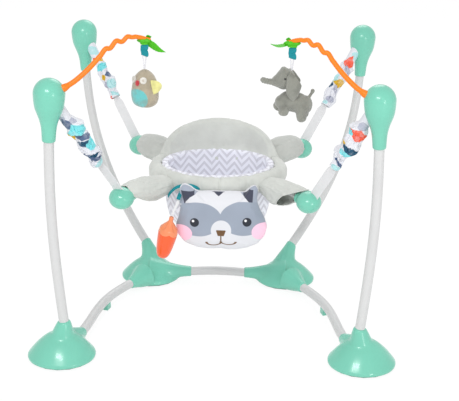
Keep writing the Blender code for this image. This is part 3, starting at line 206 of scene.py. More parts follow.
class Shader:
    """A node material under construction."""

    def __init__(self, name: str) -> None:
        """Start a material with one Principled shader."""
        self.material = bpy.data.materials.new(name)
        self.material.use_nodes = True
        self.tree = self.material.node_tree
        self.tree.nodes.clear()
        self.surface = self.tree.nodes.new("ShaderNodeBsdfPrincipled")
        self.output = self.tree.nodes.new("ShaderNodeOutputMaterial")
        self.tree.links.new(self.surface.outputs[0], self.output.inputs["Surface"])

    def node(self, kind: str, settings: dict | None = None, inputs: dict | None = None) -> bpy.types.Node:
        """Add a node.

        Args:
            kind: The node's type.
            settings: Its own properties, set first.
            inputs: Values or links for its sockets, by name or index.

        Returns:
            The node.
        """
        made = self.tree.nodes.new(kind)
        for key, value in (settings or {}).items():
            setattr(made, key, value)
        for key, value in (inputs or {}).items():
            self.feed(made.inputs[key], value)
        return made

    def feed(self, entry: bpy.types.NodeSocket, value: "Socket | float | Sequence[float]") -> None:
        """Link or set one socket."""
        if isinstance(value, Socket):
            self.tree.links.new(value.output, entry)
        elif entry.type == "RGBA":
            entry.default_value = (*value, 1.0)
        else:
            entry.default_value = value

    def value(
        self, kind: str, settings: dict | None = None, inputs: dict | None = None, output: int | str = 0
    ) -> Socket:
        """Add a node and wrap one of its outputs."""
        return Socket(self, self.node(kind, settings, inputs).outputs[output])

    def constant(self, number: float) -> Socket:
        """Wrap a number."""
        made = self.node("ShaderNodeValue")
        made.outputs[0].default_value = number
        return Socket(self, made.outputs[0])

    def place(self) -> Socket:
        """Read the surface's place on the object."""
        return self.value("ShaderNodeTexCoord", output="Object")

    def axes(self) -> tuple[Socket, Socket, Socket]:
        """Read the place as three values."""
        made = self.node("ShaderNodeSeparateXYZ", inputs={0: self.place()})
        return tuple(Socket(self, out) for out in made.outputs)

    def chart(self) -> tuple[Socket, Socket]:
        """Read the piece's own UV map as two values."""
        flat = self.value("ShaderNodeUVMap", {"uv_map": "chart"})
        made = self.node("ShaderNodeSeparateXYZ", inputs={0: flat})
        return Socket(self, made.outputs[0]), Socket(self, made.outputs[1])

    def grain(
        self, scale: float, detail: float = 3.0, rough: float = 0.5, stretch: Sequence[float] = (1, 1, 1)
    ) -> Socket:
        """Read a noise over the object.

        Args:
            scale: Features to a metre.
            detail: The noise's octaves.
            rough: How strong the finer octaves are.
            stretch: Factors that squeeze the noise along each axis.

        Returns:
            The noise, from nought to one.
        """
        spot = self.value("ShaderNodeMapping", inputs={"Vector": self.place(), "Scale": stretch})
        inputs = {"Vector": spot, "Scale": scale, "Detail": detail, "Roughness": rough}
        return self.value("ShaderNodeTexNoise", inputs=inputs)

    def blend(self, share: Socket | float, under: Socket | Colour, over: Socket | Colour) -> Socket:
        """Mix two colours."""
        made = self.node("ShaderNodeMix", {"data_type": "RGBA"})
        self.feed(made.inputs[0], share)
        self.feed(made.inputs[6], under)
        self.feed(made.inputs[7], over)
        return Socket(self, made.outputs[2])

    def relief(
        self, height: Socket, distance: float, strength: float = 1.0, under: Socket | None = None
    ) -> Socket:
        """Turn a height into a bumped normal.

        Args:
            height: The height, from nought to one.
            distance: The height's size in metres.
            strength: How much of it shows.
            under: Another bump that this one lies on.

        Returns:
            The normal.
        """
        inputs: dict = {"Height": height, "Distance": distance, "Strength": strength}
        if under:
            inputs["Normal"] = under
        return self.value("ShaderNodeBump", inputs=inputs)

    def spot(
        self, along: Socket, up: Socket, middle: Sequence[float], size: Sequence[float], turn: float = 0.0
    ) -> Socket:
        """Measure how far a point is from an ellipse's middle.

        Args:
            along: The first coordinate.
            up: The second coordinate.
            middle: The ellipse's middle.
            size: Its two half sizes.
            turn: Its turn in degrees.

        Returns:
            A value that is one on the ellipse and less inside it.
        """
        across, rise = along - middle[0], up - middle[1]
        if turn:
            turned = radians(turn)
            ahead, aside = cos(turned), sin(turned)
            across, rise = across * ahead + rise * aside, rise * ahead - across * aside
        across, rise = across / size[0], rise / size[1]
        return (across * across + rise * rise) ** 0.5

    def finish(self, **inputs: "Socket | float | Sequence[float]") -> Material:
        """Feed the Principled shader.

        Args:
            inputs: Values by socket name, with underscores for spaces.

        Returns:
            The finished material.
        """
        for key, value in inputs.items():
            self.feed(self.surface.inputs[key.replace("_", " ")], value)
        return self.material


@dataclass(frozen=True)
class MouldedPlastic:
    """Glossy moulded plastic with the faint ripple of its mould."""

    name: str
    colour: Colour
    roughness: float = 0.26
    coat: float = 0.25

    def build(self) -> Material:
        """Make the material."""
        shader = Shader(self.name)
        cloud = shader.grain(9.0, 2.0)
        speck = shader.grain(900.0, 2.0)
        deep = tuple(part * 0.93 for part in self.colour)
        colour = shader.blend(cloud.below(0.5, 0.25), self.colour, deep)
        rough = speck * 0.06 + cloud * 0.08 + (self.roughness - 0.07)
        ripple = shader.relief(shader.grain(55.0, 1.0), 0.0008, 0.1)
        return shader.finish(
            Base_Color=colour, Roughness=rough, Normal=shader.relief(speck, 0.0002, 0.1, ripple),
            Coat_Weight=self.coat, Coat_Roughness=0.08, IOR=1.48)


@dataclass(frozen=True)
class PowderCoat:
    """White powder coat with a fine orange peel."""

    name: str = "tube_powder_coat"
    colour: Colour = (0.628, 0.63, 0.63)

    def build(self) -> Material:
        """Make the material."""
        shader = Shader(self.name)
        peel = shader.grain(420.0, 2.0)
        dust = shader.grain(14.0, 4.0, 0.6)
        colour = shader.blend(
            dust.below(0.42, 0.12) * 0.5, self.colour, tuple(part * 0.95 for part in self.colour))
        return shader.finish(
            Base_Color=colour, Roughness=peel * 0.1 + 0.3, Normal=shader.relief(peel, 0.0003, 0.25),
            Coat_Weight=0.15, Coat_Roughness=0.15)


@dataclass(frozen=True)
class SoleRubber:
    """Matt rubber of the soles."""

    name: str = "sole_rubber"
    colour: Colour = (0.1, 0.23, 0.19)

    def build(self) -> Material:
        """Make the material."""
        shader = Shader(self.name)
        grit = shader.grain(700.0, 3.0, 0.6)
        colour = shader.blend(grit.below(0.5, 0.2), self.colour, tuple(part * 0.7 for part in self.colour))
        return shader.finish(
            Base_Color=colour, Roughness=grit * 0.2 + 0.65, Normal=shader.relief(grit, 0.0004, 0.5))


@dataclass(frozen=True)
class SpringWire:
    """Bright spring wire."""

    name: str = "spring_wire"

    def build(self) -> Material:
        """Make the material."""
        shader = Shader(self.name)
        drawn = shader.grain(260.0, 3.0, 0.6, (1, 1, 0.15))
        colour = shader.blend(drawn.below(0.45, 0.2), (0.62, 0.63, 0.64), (0.46, 0.47, 0.48))
        return shader.finish(
            Base_Color=colour, Metallic=1.0, Roughness=drawn * 0.2 + 0.2,
            Normal=shader.relief(drawn, 0.0002, 0.3))


class Cloth:
    """The weave that every cloth finish shares."""

    @staticmethod
    def weave(shader: Shader, pitch: float, depth: float, puckers: float = 0.0) -> tuple[Socket, Socket]:
        """Make a plain weave in three directions.

        Args:
            shader: The material under construction.
            pitch: The distance between two threads.
            depth: The threads' height.
            puckers: The height of soft creases under the weave.

        Returns:
            The thread pattern, from nought to one, and its normal.
        """
        turns = 2 * pi / pitch
        x, y, z = shader.axes()
        thread = (x * turns).sine() * (z * turns).sine() + (y * turns).sine() * 0.5
        thread = thread * 0.33 + 0.5
        under = None
        if puckers:
            crease = shader.grain(38.0, 3.0, 0.55)
            under = shader.relief(crease, puckers, 0.6)
        return thread, shader.relief(thread, depth, 0.35, under)


@dataclass(frozen=True)
class PaddedCloth:
    """Pale padded cloth of the seat's covers."""

    name: str = "padded_cloth"
    colour: Colour = (0.635, 0.652, 0.618)
    puckers: float = 0.004

    def build(self) -> Material:
        """Make the material."""
        shader = Shader(self.name)
        thread, normal = Cloth.weave(shader, 0.0011, 0.0003, self.puckers)
        cloud = shader.grain(11.0, 4.0, 0.6)
        deep = tuple(part * 0.9 for part in self.colour)
        colour = shader.blend(cloud.below(0.47, 0.16), self.colour, deep)
        colour = shader.blend(thread * 0.16, colour, tuple(min(1.0, part * 1.14) for part in self.colour))
        return shader.finish(
            Base_Color=colour, Roughness=thread * 0.1 + 0.82, Normal=normal, Sheen_Weight=0.25,
            Sheen_Roughness=0.5)


@dataclass(frozen=True)
class ZigzagCloth:
    """Cloth with a zigzag stripe, as the pocket and its lining have."""

    name: str
    pale: Colour = (0.9, 0.905, 0.99)
    dark: Colour = (0.665, 0.66, 0.735)
    period: float = 0.0446
    pitch: float = 0.025
    swing: float = 0.03

    def build(self) -> Material:
        """Make the material."""
        shader = Shader(self.name)
        along, up = shader.chart()
        fold = (along / self.period).math("PINGPONG", 0.5) * 2.0
        stripe = ((up + fold * self.swing) / self.pitch).math("FRACT")
        band = abs(stripe - 0.5).below(0.225, 0.05)
        thread, normal = Cloth.weave(shader, 0.0011, 0.0003, 0.0035)
        colour = shader.blend(band, self.pale, self.dark)
        colour = shader.blend(thread * 0.12, colour, (1.0, 1.0, 1.0))
        return shader.finish(Base_Color=colour, Roughness=0.85, Normal=normal, Sheen_Weight=0.2)


class Motif(Enum):
    """The outline of a printed patch."""

    ROUND = "round"
    DIAMOND = "diamond"
    BAND = "band"


@dataclass(frozen=True)
class Patch:
    """A printed patch, or a patch of painted shade, on a sleeve: turns round it, share down it, and half
    sizes of both.
    """

    motif: Motif
    colour: Colour
    turn: float
    down: float
    wide: float
    tall: float


@dataclass(frozen=True)
class PrintedCloth:
    """White cloth with scattered plain patches."""

    name: str
    patches: tuple[Patch, ...]
    ground: Colour = (0.74, 0.748, 0.8)

    def build(self) -> Material:
        """Make the material."""
        shader = Shader(self.name)
        around, down = shader.chart()
        wobble = shader.grain(60.0, 2.0)
        turned = (around + (wobble - 0.5) * 0.1 + 1.25).math("FRACT")
        around = turned.least(1.0 - turned) - 0.25
        down = down + (shader.grain(85.0, 2.0) - 0.5) * 0.035
        colour: Socket | Colour = self.ground
        for patch in self.patches:
            across = (around - patch.turn + 1.5).math("FRACT") - 0.5
            rise = down - patch.down
            if patch.motif is Motif.DIAMOND:
                reach = abs(across) / patch.wide + abs(rise) / patch.tall
            elif patch.motif is Motif.ROUND:
                reach = ((across / patch.wide) ** 2.0 + (rise / patch.tall) ** 2.0) ** 0.5
            else:
                reach = (abs(across) / patch.wide).most(abs(rise + across * 0.25) / patch.tall)
            colour = shader.blend(reach.below(1.0, 0.06), colour, patch.colour)
        thread, normal = Cloth.weave(shader, 0.001, 0.0003, 0.002)
        colour = shader.blend(wobble.below(0.42, 0.1) * 0.22, colour, self.ground)
        colour = shader.blend(thread * 0.05, colour, (1.0, 1.0, 1.0))
        return shader.finish(Base_Color=colour, Roughness=0.85, Normal=normal, Specular_IOR_Level=0.2)


@dataclass(frozen=True)
class Webbing:
    """Ribbed webbing or ribbon, with its ribs across the strap."""

    name: str
    colour: Colour = (0.78, 0.78, 0.795)
    rib: float = 0.0016
    alpha: float = 1.0
    roughness: float = 0.62

    def build(self) -> Material:
        """Make the material."""
        shader = Shader(self.name)
        _, down = shader.chart()
        ribs = (down * (2 * pi / self.rib)).sine() * 0.5 + 0.5
        cloud = shader.grain(45.0, 3.0)
        colour = shader.blend(ribs * 0.35, tuple(part * 0.93 for part in self.colour), self.colour)
        colour = shader.blend(
            cloud.below(0.45, 0.15) * 0.5, colour, tuple(part * 0.9 for part in self.colour))
        return shader.finish(
            Base_Color=colour, Roughness=self.roughness, Alpha=self.alpha,
            Normal=shader.relief(ribs, 0.0003, 0.5, shader.relief(cloud, 0.0015, 0.5)))


@dataclass(frozen=True)
class Plush:
    """Short plush, mottled by the lie of its pile."""

    name: str
    colour: Colour
    patch_colour: Colour | None = None
    patch_middle: tuple[float, float] = (0.0, 0.0)
    patch_size: tuple[float, float] = (1.0, 1.0)
    patch_turn: float = 0.0

    def build(self) -> Material:
        """Make the material."""
        shader = Shader(self.name)
        pile = shader.grain(1500.0, 4.0, 0.7)
        tuft = shader.grain(170.0, 3.0, 0.6)
        lie = shader.grain(30.0, 3.0, 0.55)
        colour: Socket | Colour = self.colour
        if self.patch_colour:
            x, _, z = shader.axes()
            reach = shader.spot(x, z, self.patch_middle, self.patch_size, self.patch_turn)
            colour = shader.blend((reach + (tuft - 0.5) * 0.12).below(1.0, 0.04), colour, self.patch_colour)
        dark = tuple(part * 0.55 for part in self.colour)
        colour = shader.blend(lie.below(0.47, 0.12) * 0.55, colour, dark)
        colour = shader.blend(pile.below(0.46, 0.12) * 0.35, colour, dark)
        under = shader.relief(tuft, 0.0015, 0.5, shader.relief(lie, 0.004, 0.5))
        return shader.finish(
            Base_Color=colour, Roughness=0.95, Normal=shader.relief(pile, 0.0009, 0.8, under),
            Sheen_Weight=0.5, Sheen_Roughness=0.6)


class Maker:
    """Shapes meshes with bmesh operators and turns them into riding pieces."""

    @staticmethod
    def curve(points: Iterable[Sequence[float]], spans: int) -> list[Vector]:
        """Draw a smooth curve through points.

        Args:
            points: The points.
            spans: How many steps each stretch gets.

        Returns:
            The points of the curve.
        """
        knots = [Vector(point) for point in points]
        knots = [2 * knots[0] - knots[1], *knots, 2 * knots[-1] - knots[-2]]
        path = []
        for index in range(1, len(knots) - 2):
            before, start, end, after = knots[index - 1 : index + 3]
            for step in range(spans):
                t = step / spans
                bend = (2 * before - 5 * start + 4 * end - after) * t * t
                turn = (3 * start - before - 3 * end + after) * t**3
                path.append(0.5 * (2 * start + (end - before) * t + bend + turn))
        path.append(knots[-2])
        return path

    @staticmethod
    def read(curve: Sequence[Vector], share: float) -> Vector:
        """Read a curve at a share of its way along x.

        Args:
            curve: The curve, whose x only grows.
            share: Where it is read.

        Returns:
            The point there.
        """
        index = next((step for step in range(1, len(curve)) if curve[step].x >= share), len(curve) - 1)
        low, high = curve[index - 1], curve[index]
        return low.lerp(high, max(0.0, min(1.0, (share - low.x) / (high.x - low.x))))

    @staticmethod
    def aim(origin: Vector, axis: Vector, front: Vector = vec(0, -1, 0)) -> Matrix:
        """Build a frame whose Z runs along an axis and whose X faces the front.

        Args:
            origin: The frame's origin.
            axis: Where Z points.
            front: What X leans towards.

        Returns:
            The transform.
        """
        up = Vector(axis).normalized()
        ahead = (Vector(front) - up * up.dot(Vector(front))).normalized()
        turn = Matrix((ahead, up.cross(ahead), up)).transposed().to_4x4()
        return Matrix.Translation(origin) @ turn

    @staticmethod
    def spin(profile: Sequence[Sequence[float]], steps: int = 64) -> Shape:
        """Turn an outline about the upright axis.

        Args:
            profile: Radius and height of each point.
            steps: How many steps the turn has.

        Returns:
            The turned shape.
        """
        shape = bmesh.new()
        points = [shape.verts.new((spot[0], 0.0, spot[1])) for spot in profile]
        lines = [shape.edges.new(pair) for pair in zip(points, points[1:])]
        bmesh.ops.spin(
            shape, geom=points + lines, axis=(0, 0, 1), cent=(0, 0, 0), dvec=(0, 0, 0), angle=2 * pi,
            steps=steps, use_merge=True)
        bmesh.ops.remove_doubles(shape, verts=shape.verts, dist=1e-6)
        bmesh.ops.recalc_face_normals(shape, faces=shape.faces)
        return shape

    @staticmethod
    def loft(
        sides: int, stations: int, place: Place,
        chart: Callable[[int, int], tuple[float, float]] | None = None, caps: bool = True, seam: float = 1.0
    ) -> Shape:
        """Extrude a ring from station to station.

        Args:
            sides: The corners of the ring.
            stations: How many rings there are.
            place: Where a corner of a station lies.
            chart: The UV place of a corner, if the piece has a map.
            caps: Whether the two ends are closed.
            seam: The chart's width, which mends the faces across the seam.

        Returns:
            The shape.
        """
        shape = bmesh.new()
        ring = list(bmesh.ops.create_circle(shape, segments=sides, radius=1.0)["verts"])
        edges = list(shape.edges)
        first = list(edges)
        spots = {}
        for station in range(stations):
            if station:
                grown = set(bmesh.ops.extrude_edge_only(shape, edges=edges)["geom"])
                fresh = {item for item in grown if isinstance(item, bmesh.types.BMVert)}
                ring = [
                    next(e.other_vert(v) for e in v.link_edges if e.other_vert(v) in fresh) for v in ring]
                edges = [
                    item for item in grown if isinstance(item, bmesh.types.BMEdge)
                    and set(item.verts) <= fresh]
            for side, vert in enumerate(ring):
                vert.co = place(side, station)
                if chart:
                    spots[vert] = chart(side, station)
        if chart:
            layer = shape.loops.layers.uv.new("chart")
            for face in shape.faces:
                widest = max(spots[loop.vert][0] for loop in face.loops)
                for loop in face.loops:
                    across, down = spots[loop.vert]
                    loop[layer].uv = (across + seam if widest - across > seam / 2 else across, down)
        if caps:
            bmesh.ops.contextual_create(shape, geom=first)
            bmesh.ops.contextual_create(shape, geom=edges)
        bmesh.ops.recalc_face_normals(shape, faces=shape.faces)
        return shape

    @classmethod
    def sweep(
        cls, path: Sequence[Vector], radii: Sequence[float] | float, sides: int = 32, flat: float = 1.0,
        caps: bool = True, across: Vector | None = None, boxy: float = 1.0
    ) -> Shape:
        """Sweep a round or flattened section along a path.

        Args:
            path: The middle line.
            radii: The radius at each point, or one radius.
            sides: The corners of the section.
            flat: The section's thickness as a share of its width.
            caps: Whether the ends are closed.
            across: Where the section's width points at the start.
            boxy: Below one, the section gets flat faces and rounded edges.

        Returns:
            The shape.
        """
        sizes = [radii] * len(path) if isinstance(radii, (int, float)) else list(radii)
        frames = []
        across = across or (vec(1, 0, 0) if abs((path[1] - path[0]).normalized().x) < 0.9 else vec(0, 1, 0))
        run = 0.0
        runs = []
        for index, point in enumerate(path):
            heading = (path[min(index + 1, len(path) - 1)] - path[max(index - 1, 0)]).normalized()
            across = (across - heading * heading.dot(across)).normalized()
            frames.append((point, across.copy(), heading.cross(across)))
            run += (point - path[index - 1]).length if index else 0.0
            runs.append(run)

        def place(side: int, station: int) -> Vector:
            """Put one corner of the section."""
            point, wide, thick = frames[station]
            turn = 2 * pi * side / sides
            over, up = (copysign(abs(way) ** boxy, way) for way in (cos(turn), sin(turn)))
            return point + (wide * over + thick * (up * flat)) * sizes[station]

        return cls.loft(sides, len(path), place, lambda side, station: (side / sides, runs[station]), caps)

    @staticmethod
    def ball(
        centre: Sequence[float], radii: Sequence[float], turn: Matrix | None = None, rings: int = 24
    ) -> Shape:
        """Make an ellipsoid.

        Args:
            centre: Its middle.
            radii: Its three half sizes.
            turn: How it is turned.
            rings: Its rows of faces.

        Returns:
            The shape.
        """
        shape = bmesh.new()
        place = Matrix.Translation(centre) @ (turn or Matrix()) @ Matrix.Diagonal((*radii, 1.0))
        bmesh.ops.create_uvsphere(shape, u_segments=rings * 2, v_segments=rings, radius=1.0, matrix=place)
        return shape

    @staticmethod
    def moved(shape: Shape, matrix: Matrix) -> Shape:
        """Transform a shape in place and hand it back."""
        bmesh.ops.transform(shape, matrix=matrix, verts=shape.verts)
        if matrix.determinant() < 0:
            bmesh.ops.reverse_faces(shape, faces=shape.faces)
        return shape

    @staticmethod
    def merged(shapes: Iterable[Shape]) -> Shape:
        """Put several shapes into the first."""
        home, *rest = shapes
        for shape in rest:
            mesh = bpy.data.meshes.new("part")
            shape.to_mesh(mesh)
            home.from_mesh(mesh)
            bpy.data.meshes.remove(mesh)
            shape.free()
        return home

    @staticmethod
    def shown(shape: Shape | bpy.types.Mesh, name: str) -> Thing:
        """Link a shape to the scene as an object."""
        mesh = shape
        if isinstance(shape, Shape):
            mesh = bpy.data.meshes.new(name)
            shape.to_mesh(mesh)
            shape.free()
        thing = bpy.data.objects.new(name, mesh)
        bpy.context.scene.collection.objects.link(thing)
        return thing

    @staticmethod
    def bake(thing: Thing) -> Thing:
        """Apply every modifier of an object."""
        graph = bpy.context.evaluated_depsgraph_get()
        done = bpy.data.meshes.new_from_object(thing.evaluated_get(graph))
        thing.modifiers.clear()
        thing.data = done
        return thing

    @classmethod
    def skinned(cls, shape: Shape, name: str, thickness: float) -> Thing:
        """Give an open shape its thickness, inwards."""
        thing = cls.shown(shape, name)
        skin = thing.modifiers.new("skin", "SOLIDIFY")
        skin.thickness = thickness
        skin.offset = -1.0
        return cls.bake(thing)

    @staticmethod
    def filleted(shape: Shape, rounds: int) -> None:
        """Fill the hollow creases of a shape and leave its crests as they are.

        Args:
            shape: The shape.
            rounds: How far the fillets grow.
        """
        shape.verts.index_update()
        spots = np.array([vert.co for vert in shape.verts])
        ends = np.array([[vert.index for vert in edge.verts] for edge in shape.edges])
        quads = np.array(
            [[face.verts[step % len(face.verts)].index for step in range(4)] for face in shape.faces])
        count = np.bincount(ends.ravel(), minlength=len(spots))[:, None]
        for _ in range(rounds):
            total = np.zeros_like(spots)
            np.add.at(total, ends[:, 0], spots[ends[:, 1]])
            np.add.at(total, ends[:, 1], spots[ends[:, 0]])
            face = np.cross(spots[quads[:, 2]] - spots[quads[:, 0]], spots[quads[:, 3]] - spots[quads[:, 1]])
            normal = np.zeros_like(spots)
            for column in range(4):
                np.add.at(normal, quads[:, column], face)
            normal /= np.linalg.norm(normal, axis=1)[:, None] + 1e-12
            step = np.einsum("ij,ij->i", total / count - spots, normal)[:, None]
            spots += normal * np.clip(step, 0.0, None) * 0.8
        for vert, spot in zip(shape.verts, spots):
            vert.co = spot

    @classmethod
    def fused(cls, shapes: Iterable[Shape], voxel: float, rounds: int = 6, fillets: int = 0) -> Shape:
        """Melt overlapping shapes into one, with soft fillets where they meet.

        Args:
            shapes: The shapes.
            voxel: The size of the faces that come out.
            rounds: How often the surface is smoothed.
            fillets: How far the hollow creases are filled.

        Returns:
            The fused shape.
        """
        thing = cls.shown(cls.merged(shapes), "fused")
        melt = thing.modifiers.new("melt", "REMESH")
        melt.mode = "VOXEL"
        melt.voxel_size = voxel
        cls.bake(thing)
        shape = bmesh.new()
        shape.from_mesh(thing.data)
        bpy.data.objects.remove(thing)
        cls.filleted(shape, fillets)
        for _ in range(rounds):
            bmesh.ops.smooth_vert(
                shape, verts=shape.verts, factor=0.5, use_axis_x=True, use_axis_y=True, use_axis_z=True)
        return shape

    @staticmethod
    def pressed(shape: Shape, depth: Callable[[Vector, Vector], float]) -> Shape:
        """Move each point along its normal.

        Args:
            shape: The shape.
            depth: How far a point moves, from its place and its normal.

        Returns:
            The same shape.
        """
        shape.normal_update()
        steps = [(vert, vert.normal * depth(vert.co, vert.normal)) for vert in shape.verts]
        for vert, step in steps:
            vert.co += step
        return shape

    @classmethod
    def swollen(
        cls, start: str | Shape, voxel: float = 0.0045, reach: float = 0.008, pressure: float = 4.0,
        frames: int = 20, shrink: float = 0.001
    ) -> Shape:
        """Let cloth and air pressure round off a soft solid, and keep its outer size.

        Args:
            start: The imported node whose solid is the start, or another closed shape.
            voxel: The size of the cloth's faces.
            reach: How far a point may move.
            pressure: The pressure inside.
            frames: How long the cloth moves.
            shrink: How much smaller the start is.

        Returns:
            The swollen shape.
        """
        shape = start
        if isinstance(start, str):
            shape = bmesh.new()
            shape.from_mesh(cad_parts[start].data)
            bmesh.ops.remove_doubles(shape, verts=shape.verts, dist=1e-5)
        wanted = cls.span(shape)
        thing = cls.shown(shape, "soft")
        melt = thing.modifiers.new("melt", "REMESH")
        melt.mode = "VOXEL"
        melt.voxel_size = voxel
        cls.bake(thing)
        rest = bmesh.new()
        rest.from_mesh(thing.data)
        for _ in range(2):
            bmesh.ops.smooth_vert(
                rest, verts=rest.verts, factor=0.5, use_axis_x=True, use_axis_y=True, use_axis_z=True)
        cls.pressed(rest, lambda spot, normal: -shrink)
        rest.to_mesh(thing.data)
        starts = [vert.co.copy() for vert in rest.verts]
        rest.free()
        cloth = thing.modifiers.new("air", "CLOTH")
        cloth.settings.use_pressure = True
        cloth.settings.uniform_pressure_force = pressure
        cloth.settings.effector_weights.gravity = 0.0
        cloth.settings.tension_stiffness = 12.0
        cloth.settings.compression_stiffness = 12.0
        cloth.settings.bending_stiffness = 0.4
        cloth.settings.mass = 0.25
        cloth.settings.quality = 4
        scene = bpy.context.scene
        for step in range(1, frames + 1):
            scene.frame_set(step)
        cls.bake(thing)
        scene.frame_set(1)
        result = bmesh.new()
        result.from_mesh(thing.data)
        bpy.data.objects.remove(thing)
        for vert, home in zip(result.verts, starts):
            move = vert.co - home
            if move.length > reach:
                vert.co = home + move.normalized() * reach
        low, high = cls.span(result)
        for vert in result.verts:
            for axis in range(3):
                share = (vert.co[axis] - low[axis]) / (high[axis] - low[axis])
                vert.co[axis] = wanted[0][axis] + share * (wanted[1][axis] - wanted[0][axis])
        return result

    @staticmethod
    def span(shape: Shape) -> tuple[Vector, Vector]:
        """Find the lowest and the highest corner of a shape's box."""
        spots = [vert.co for vert in shape.verts]
        return (
            Vector(min(spot[axis] for spot in spots) for axis in range(3)),
            Vector(max(spot[axis] for spot in spots) for axis in range(3)))

    @staticmethod
    def dress(node: str, finish: Material) -> None:
        """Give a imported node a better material, in its object's own slots."""
        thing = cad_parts[node]
        for entry in thing.material_slots:
            entry.link = "OBJECT"
            entry.material = finish

    @classmethod
    def piece(
        cls, name: str, shape: Shape | Thing, finish: Material, body: str, nodes: Sequence[str] = (),
        slot: str = "", levels: int = 0, sharp: float = 40.0, bend: tuple[Vector, Vector] | None = None
    ) -> Thing:
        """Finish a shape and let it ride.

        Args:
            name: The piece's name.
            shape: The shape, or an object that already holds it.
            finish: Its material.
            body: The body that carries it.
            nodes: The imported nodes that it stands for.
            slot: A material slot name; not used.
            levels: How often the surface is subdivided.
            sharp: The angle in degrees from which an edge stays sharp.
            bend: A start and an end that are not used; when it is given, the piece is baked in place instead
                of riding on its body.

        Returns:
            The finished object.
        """
        thing = shape if isinstance(shape, Thing) else cls.shown(shape, name)
        thing.name = name
        thing.data.name = name
        thing.data.materials.clear()
        thing.data.materials.append(finish)
        thing.data.shade_smooth()
        thing.data.set_sharp_from_angle(angle=radians(sharp))
        if levels:
            soft = thing.modifiers.new("soft", "SUBSURF")
            soft.levels = levels
            soft.render_levels = levels
        if bend:
            if thing.modifiers:
                cls.bake(thing)
            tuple(bend[0])
            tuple(bend[1])
            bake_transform(thing)
        else:
            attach(thing, body)
        if nodes:
            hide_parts(*nodes)
        return thing


@dataclass
class Studio:
    """Pale floor, soft light and the camera."""

    eye: tuple[float, float, float] = (0.0898, -2.8867, 1.4462)
    right: tuple[float, float, float] = (0.99961, 0.02364, 0.01469)
    up: tuple[float, float, float] = (-0.02218, 0.35799, 0.93346)
    lens: float = 78.2
    floor_size: float = 12.0
    sky: float = 0.8

    def camera(self) -> None:
        """Set the camera at the photograph's viewing angle."""
        lens = bpy.data.cameras.new("camera")
        lens.lens = self.lens
        lens.sensor_width = 36.0
        lens.sensor_fit = "HORIZONTAL"
        lens.clip_end = 60.0
        right, up = Vector(self.right), Vector(self.up)
        turn = Matrix((right, up, right.cross(up))).transposed().to_4x4()
        holder = bpy.data.objects.new("camera", lens)
        holder.matrix_world = Matrix.Translation(self.eye) @ turn
        bpy.context.scene.collection.objects.link(holder)
        bpy.context.scene.camera = holder

    def lamp(self, name: str, spot: Sequence[float], size: float, tall: float, energy: float) -> None:
        """Hang one soft area lamp that faces the jumper.

        Args:
            name: The lamp's name.
            spot: Where it hangs.
            size: Its width.
            tall: Its height.
            energy: Its power in watts.
        """
        light = bpy.data.lights.new(name, "AREA")
        light.shape = "RECTANGLE"
        light.size = size
        light.size_y = tall
        light.energy = energy
        holder = bpy.data.objects.new(name, light)
        holder.location = spot
        holder.rotation_euler = (vec(0, 0, 0.4) - Vector(spot)).to_track_quat("-Z", "Y").to_euler()
        bpy.context.scene.collection.objects.link(holder)

    def floor(self) -> None:
        """Lay the pale floor."""
        shape = bmesh.new()
        bmesh.ops.create_grid(shape, x_segments=4, y_segments=4, size=self.floor_size)
        Maker.moved(shape, Matrix.Translation((0, 0, -0.0002)))
        shader = Shader("studio_floor")
        rays = shader.node("ShaderNodeLightPath")
        seen = Socket(shader, rays.outputs["Is Camera Ray"])
        glossy = Socket(shader, rays.outputs["Is Glossy Ray"])
        through = Socket(shader, rays.outputs["Is Transmission Ray"])
        shader.finish(Base_Color=(0.93, 0.93, 0.93), Roughness=0.9, Specular_IOR_Level=0.0)
        white = shader.node("ShaderNodeEmission", inputs={"Color": (1, 1, 1), "Strength": 1.04})
        mix = shader.node("ShaderNodeMixShader", inputs={0: seen.most(glossy).most(through) * 0.86})
        shader.tree.links.new(shader.surface.outputs[0], mix.inputs[1])
        shader.tree.links.new(white.outputs[0], mix.inputs[2])
        shader.tree.links.new(mix.outputs[0], shader.output.inputs["Surface"])
        floor = Maker.shown(shape, "studio_floor")
        floor.data.materials.append(shader.material)

    def backdrop(self) -> None:
        """Light the world evenly and show it white."""
        world = bpy.data.worlds.new("studio")
        world.use_nodes = True
        tree = world.node_tree
        tree.nodes.clear()
        rays = tree.nodes.new("ShaderNodeLightPath")
        white = tree.nodes.new("ShaderNodeBackground")
        white.inputs["Strength"].default_value = 1.0
        light = tree.nodes.new("ShaderNodeBackground")
        light.inputs["Strength"].default_value = self.sky
        mix = tree.nodes.new("ShaderNodeMixShader")
        pick = tree.nodes.new("ShaderNodeMath")
        pick.operation = "MAXIMUM"
        out = tree.nodes.new("ShaderNodeOutputWorld")
        for shade in (white, light):
            shade.inputs["Color"].default_value = (1, 1, 1, 1)
        tree.links.new(rays.outputs["Is Camera Ray"], pick.inputs[0])
        tree.links.new(rays.outputs["Is Transmission Ray"], pick.inputs[1])
        tree.links.new(pick.outputs[0], mix.inputs[0])
        tree.links.new(light.outputs[0], mix.inputs[1])
        tree.links.new(white.outputs[0], mix.inputs[2])
        tree.links.new(mix.outputs[0], out.inputs["Surface"])
        bpy.context.scene.world = world

    def build(self) -> None:
        """Set up the studio."""
        bpy.context.scene.view_settings.view_transform = "Standard"
        self.camera()
        self.floor()
        self.backdrop()
        self.lamp("key", (-0.7, -3.0, 2.6), 1.3, 0.45, 38.0)
        self.lamp("fill", (1.7, -2.9, 0.9), 0.22, 1.1, 13.0)
        self.lamp("rim", (0.4, 2.8, 3.0), 2.0, 2.0, 26.0)


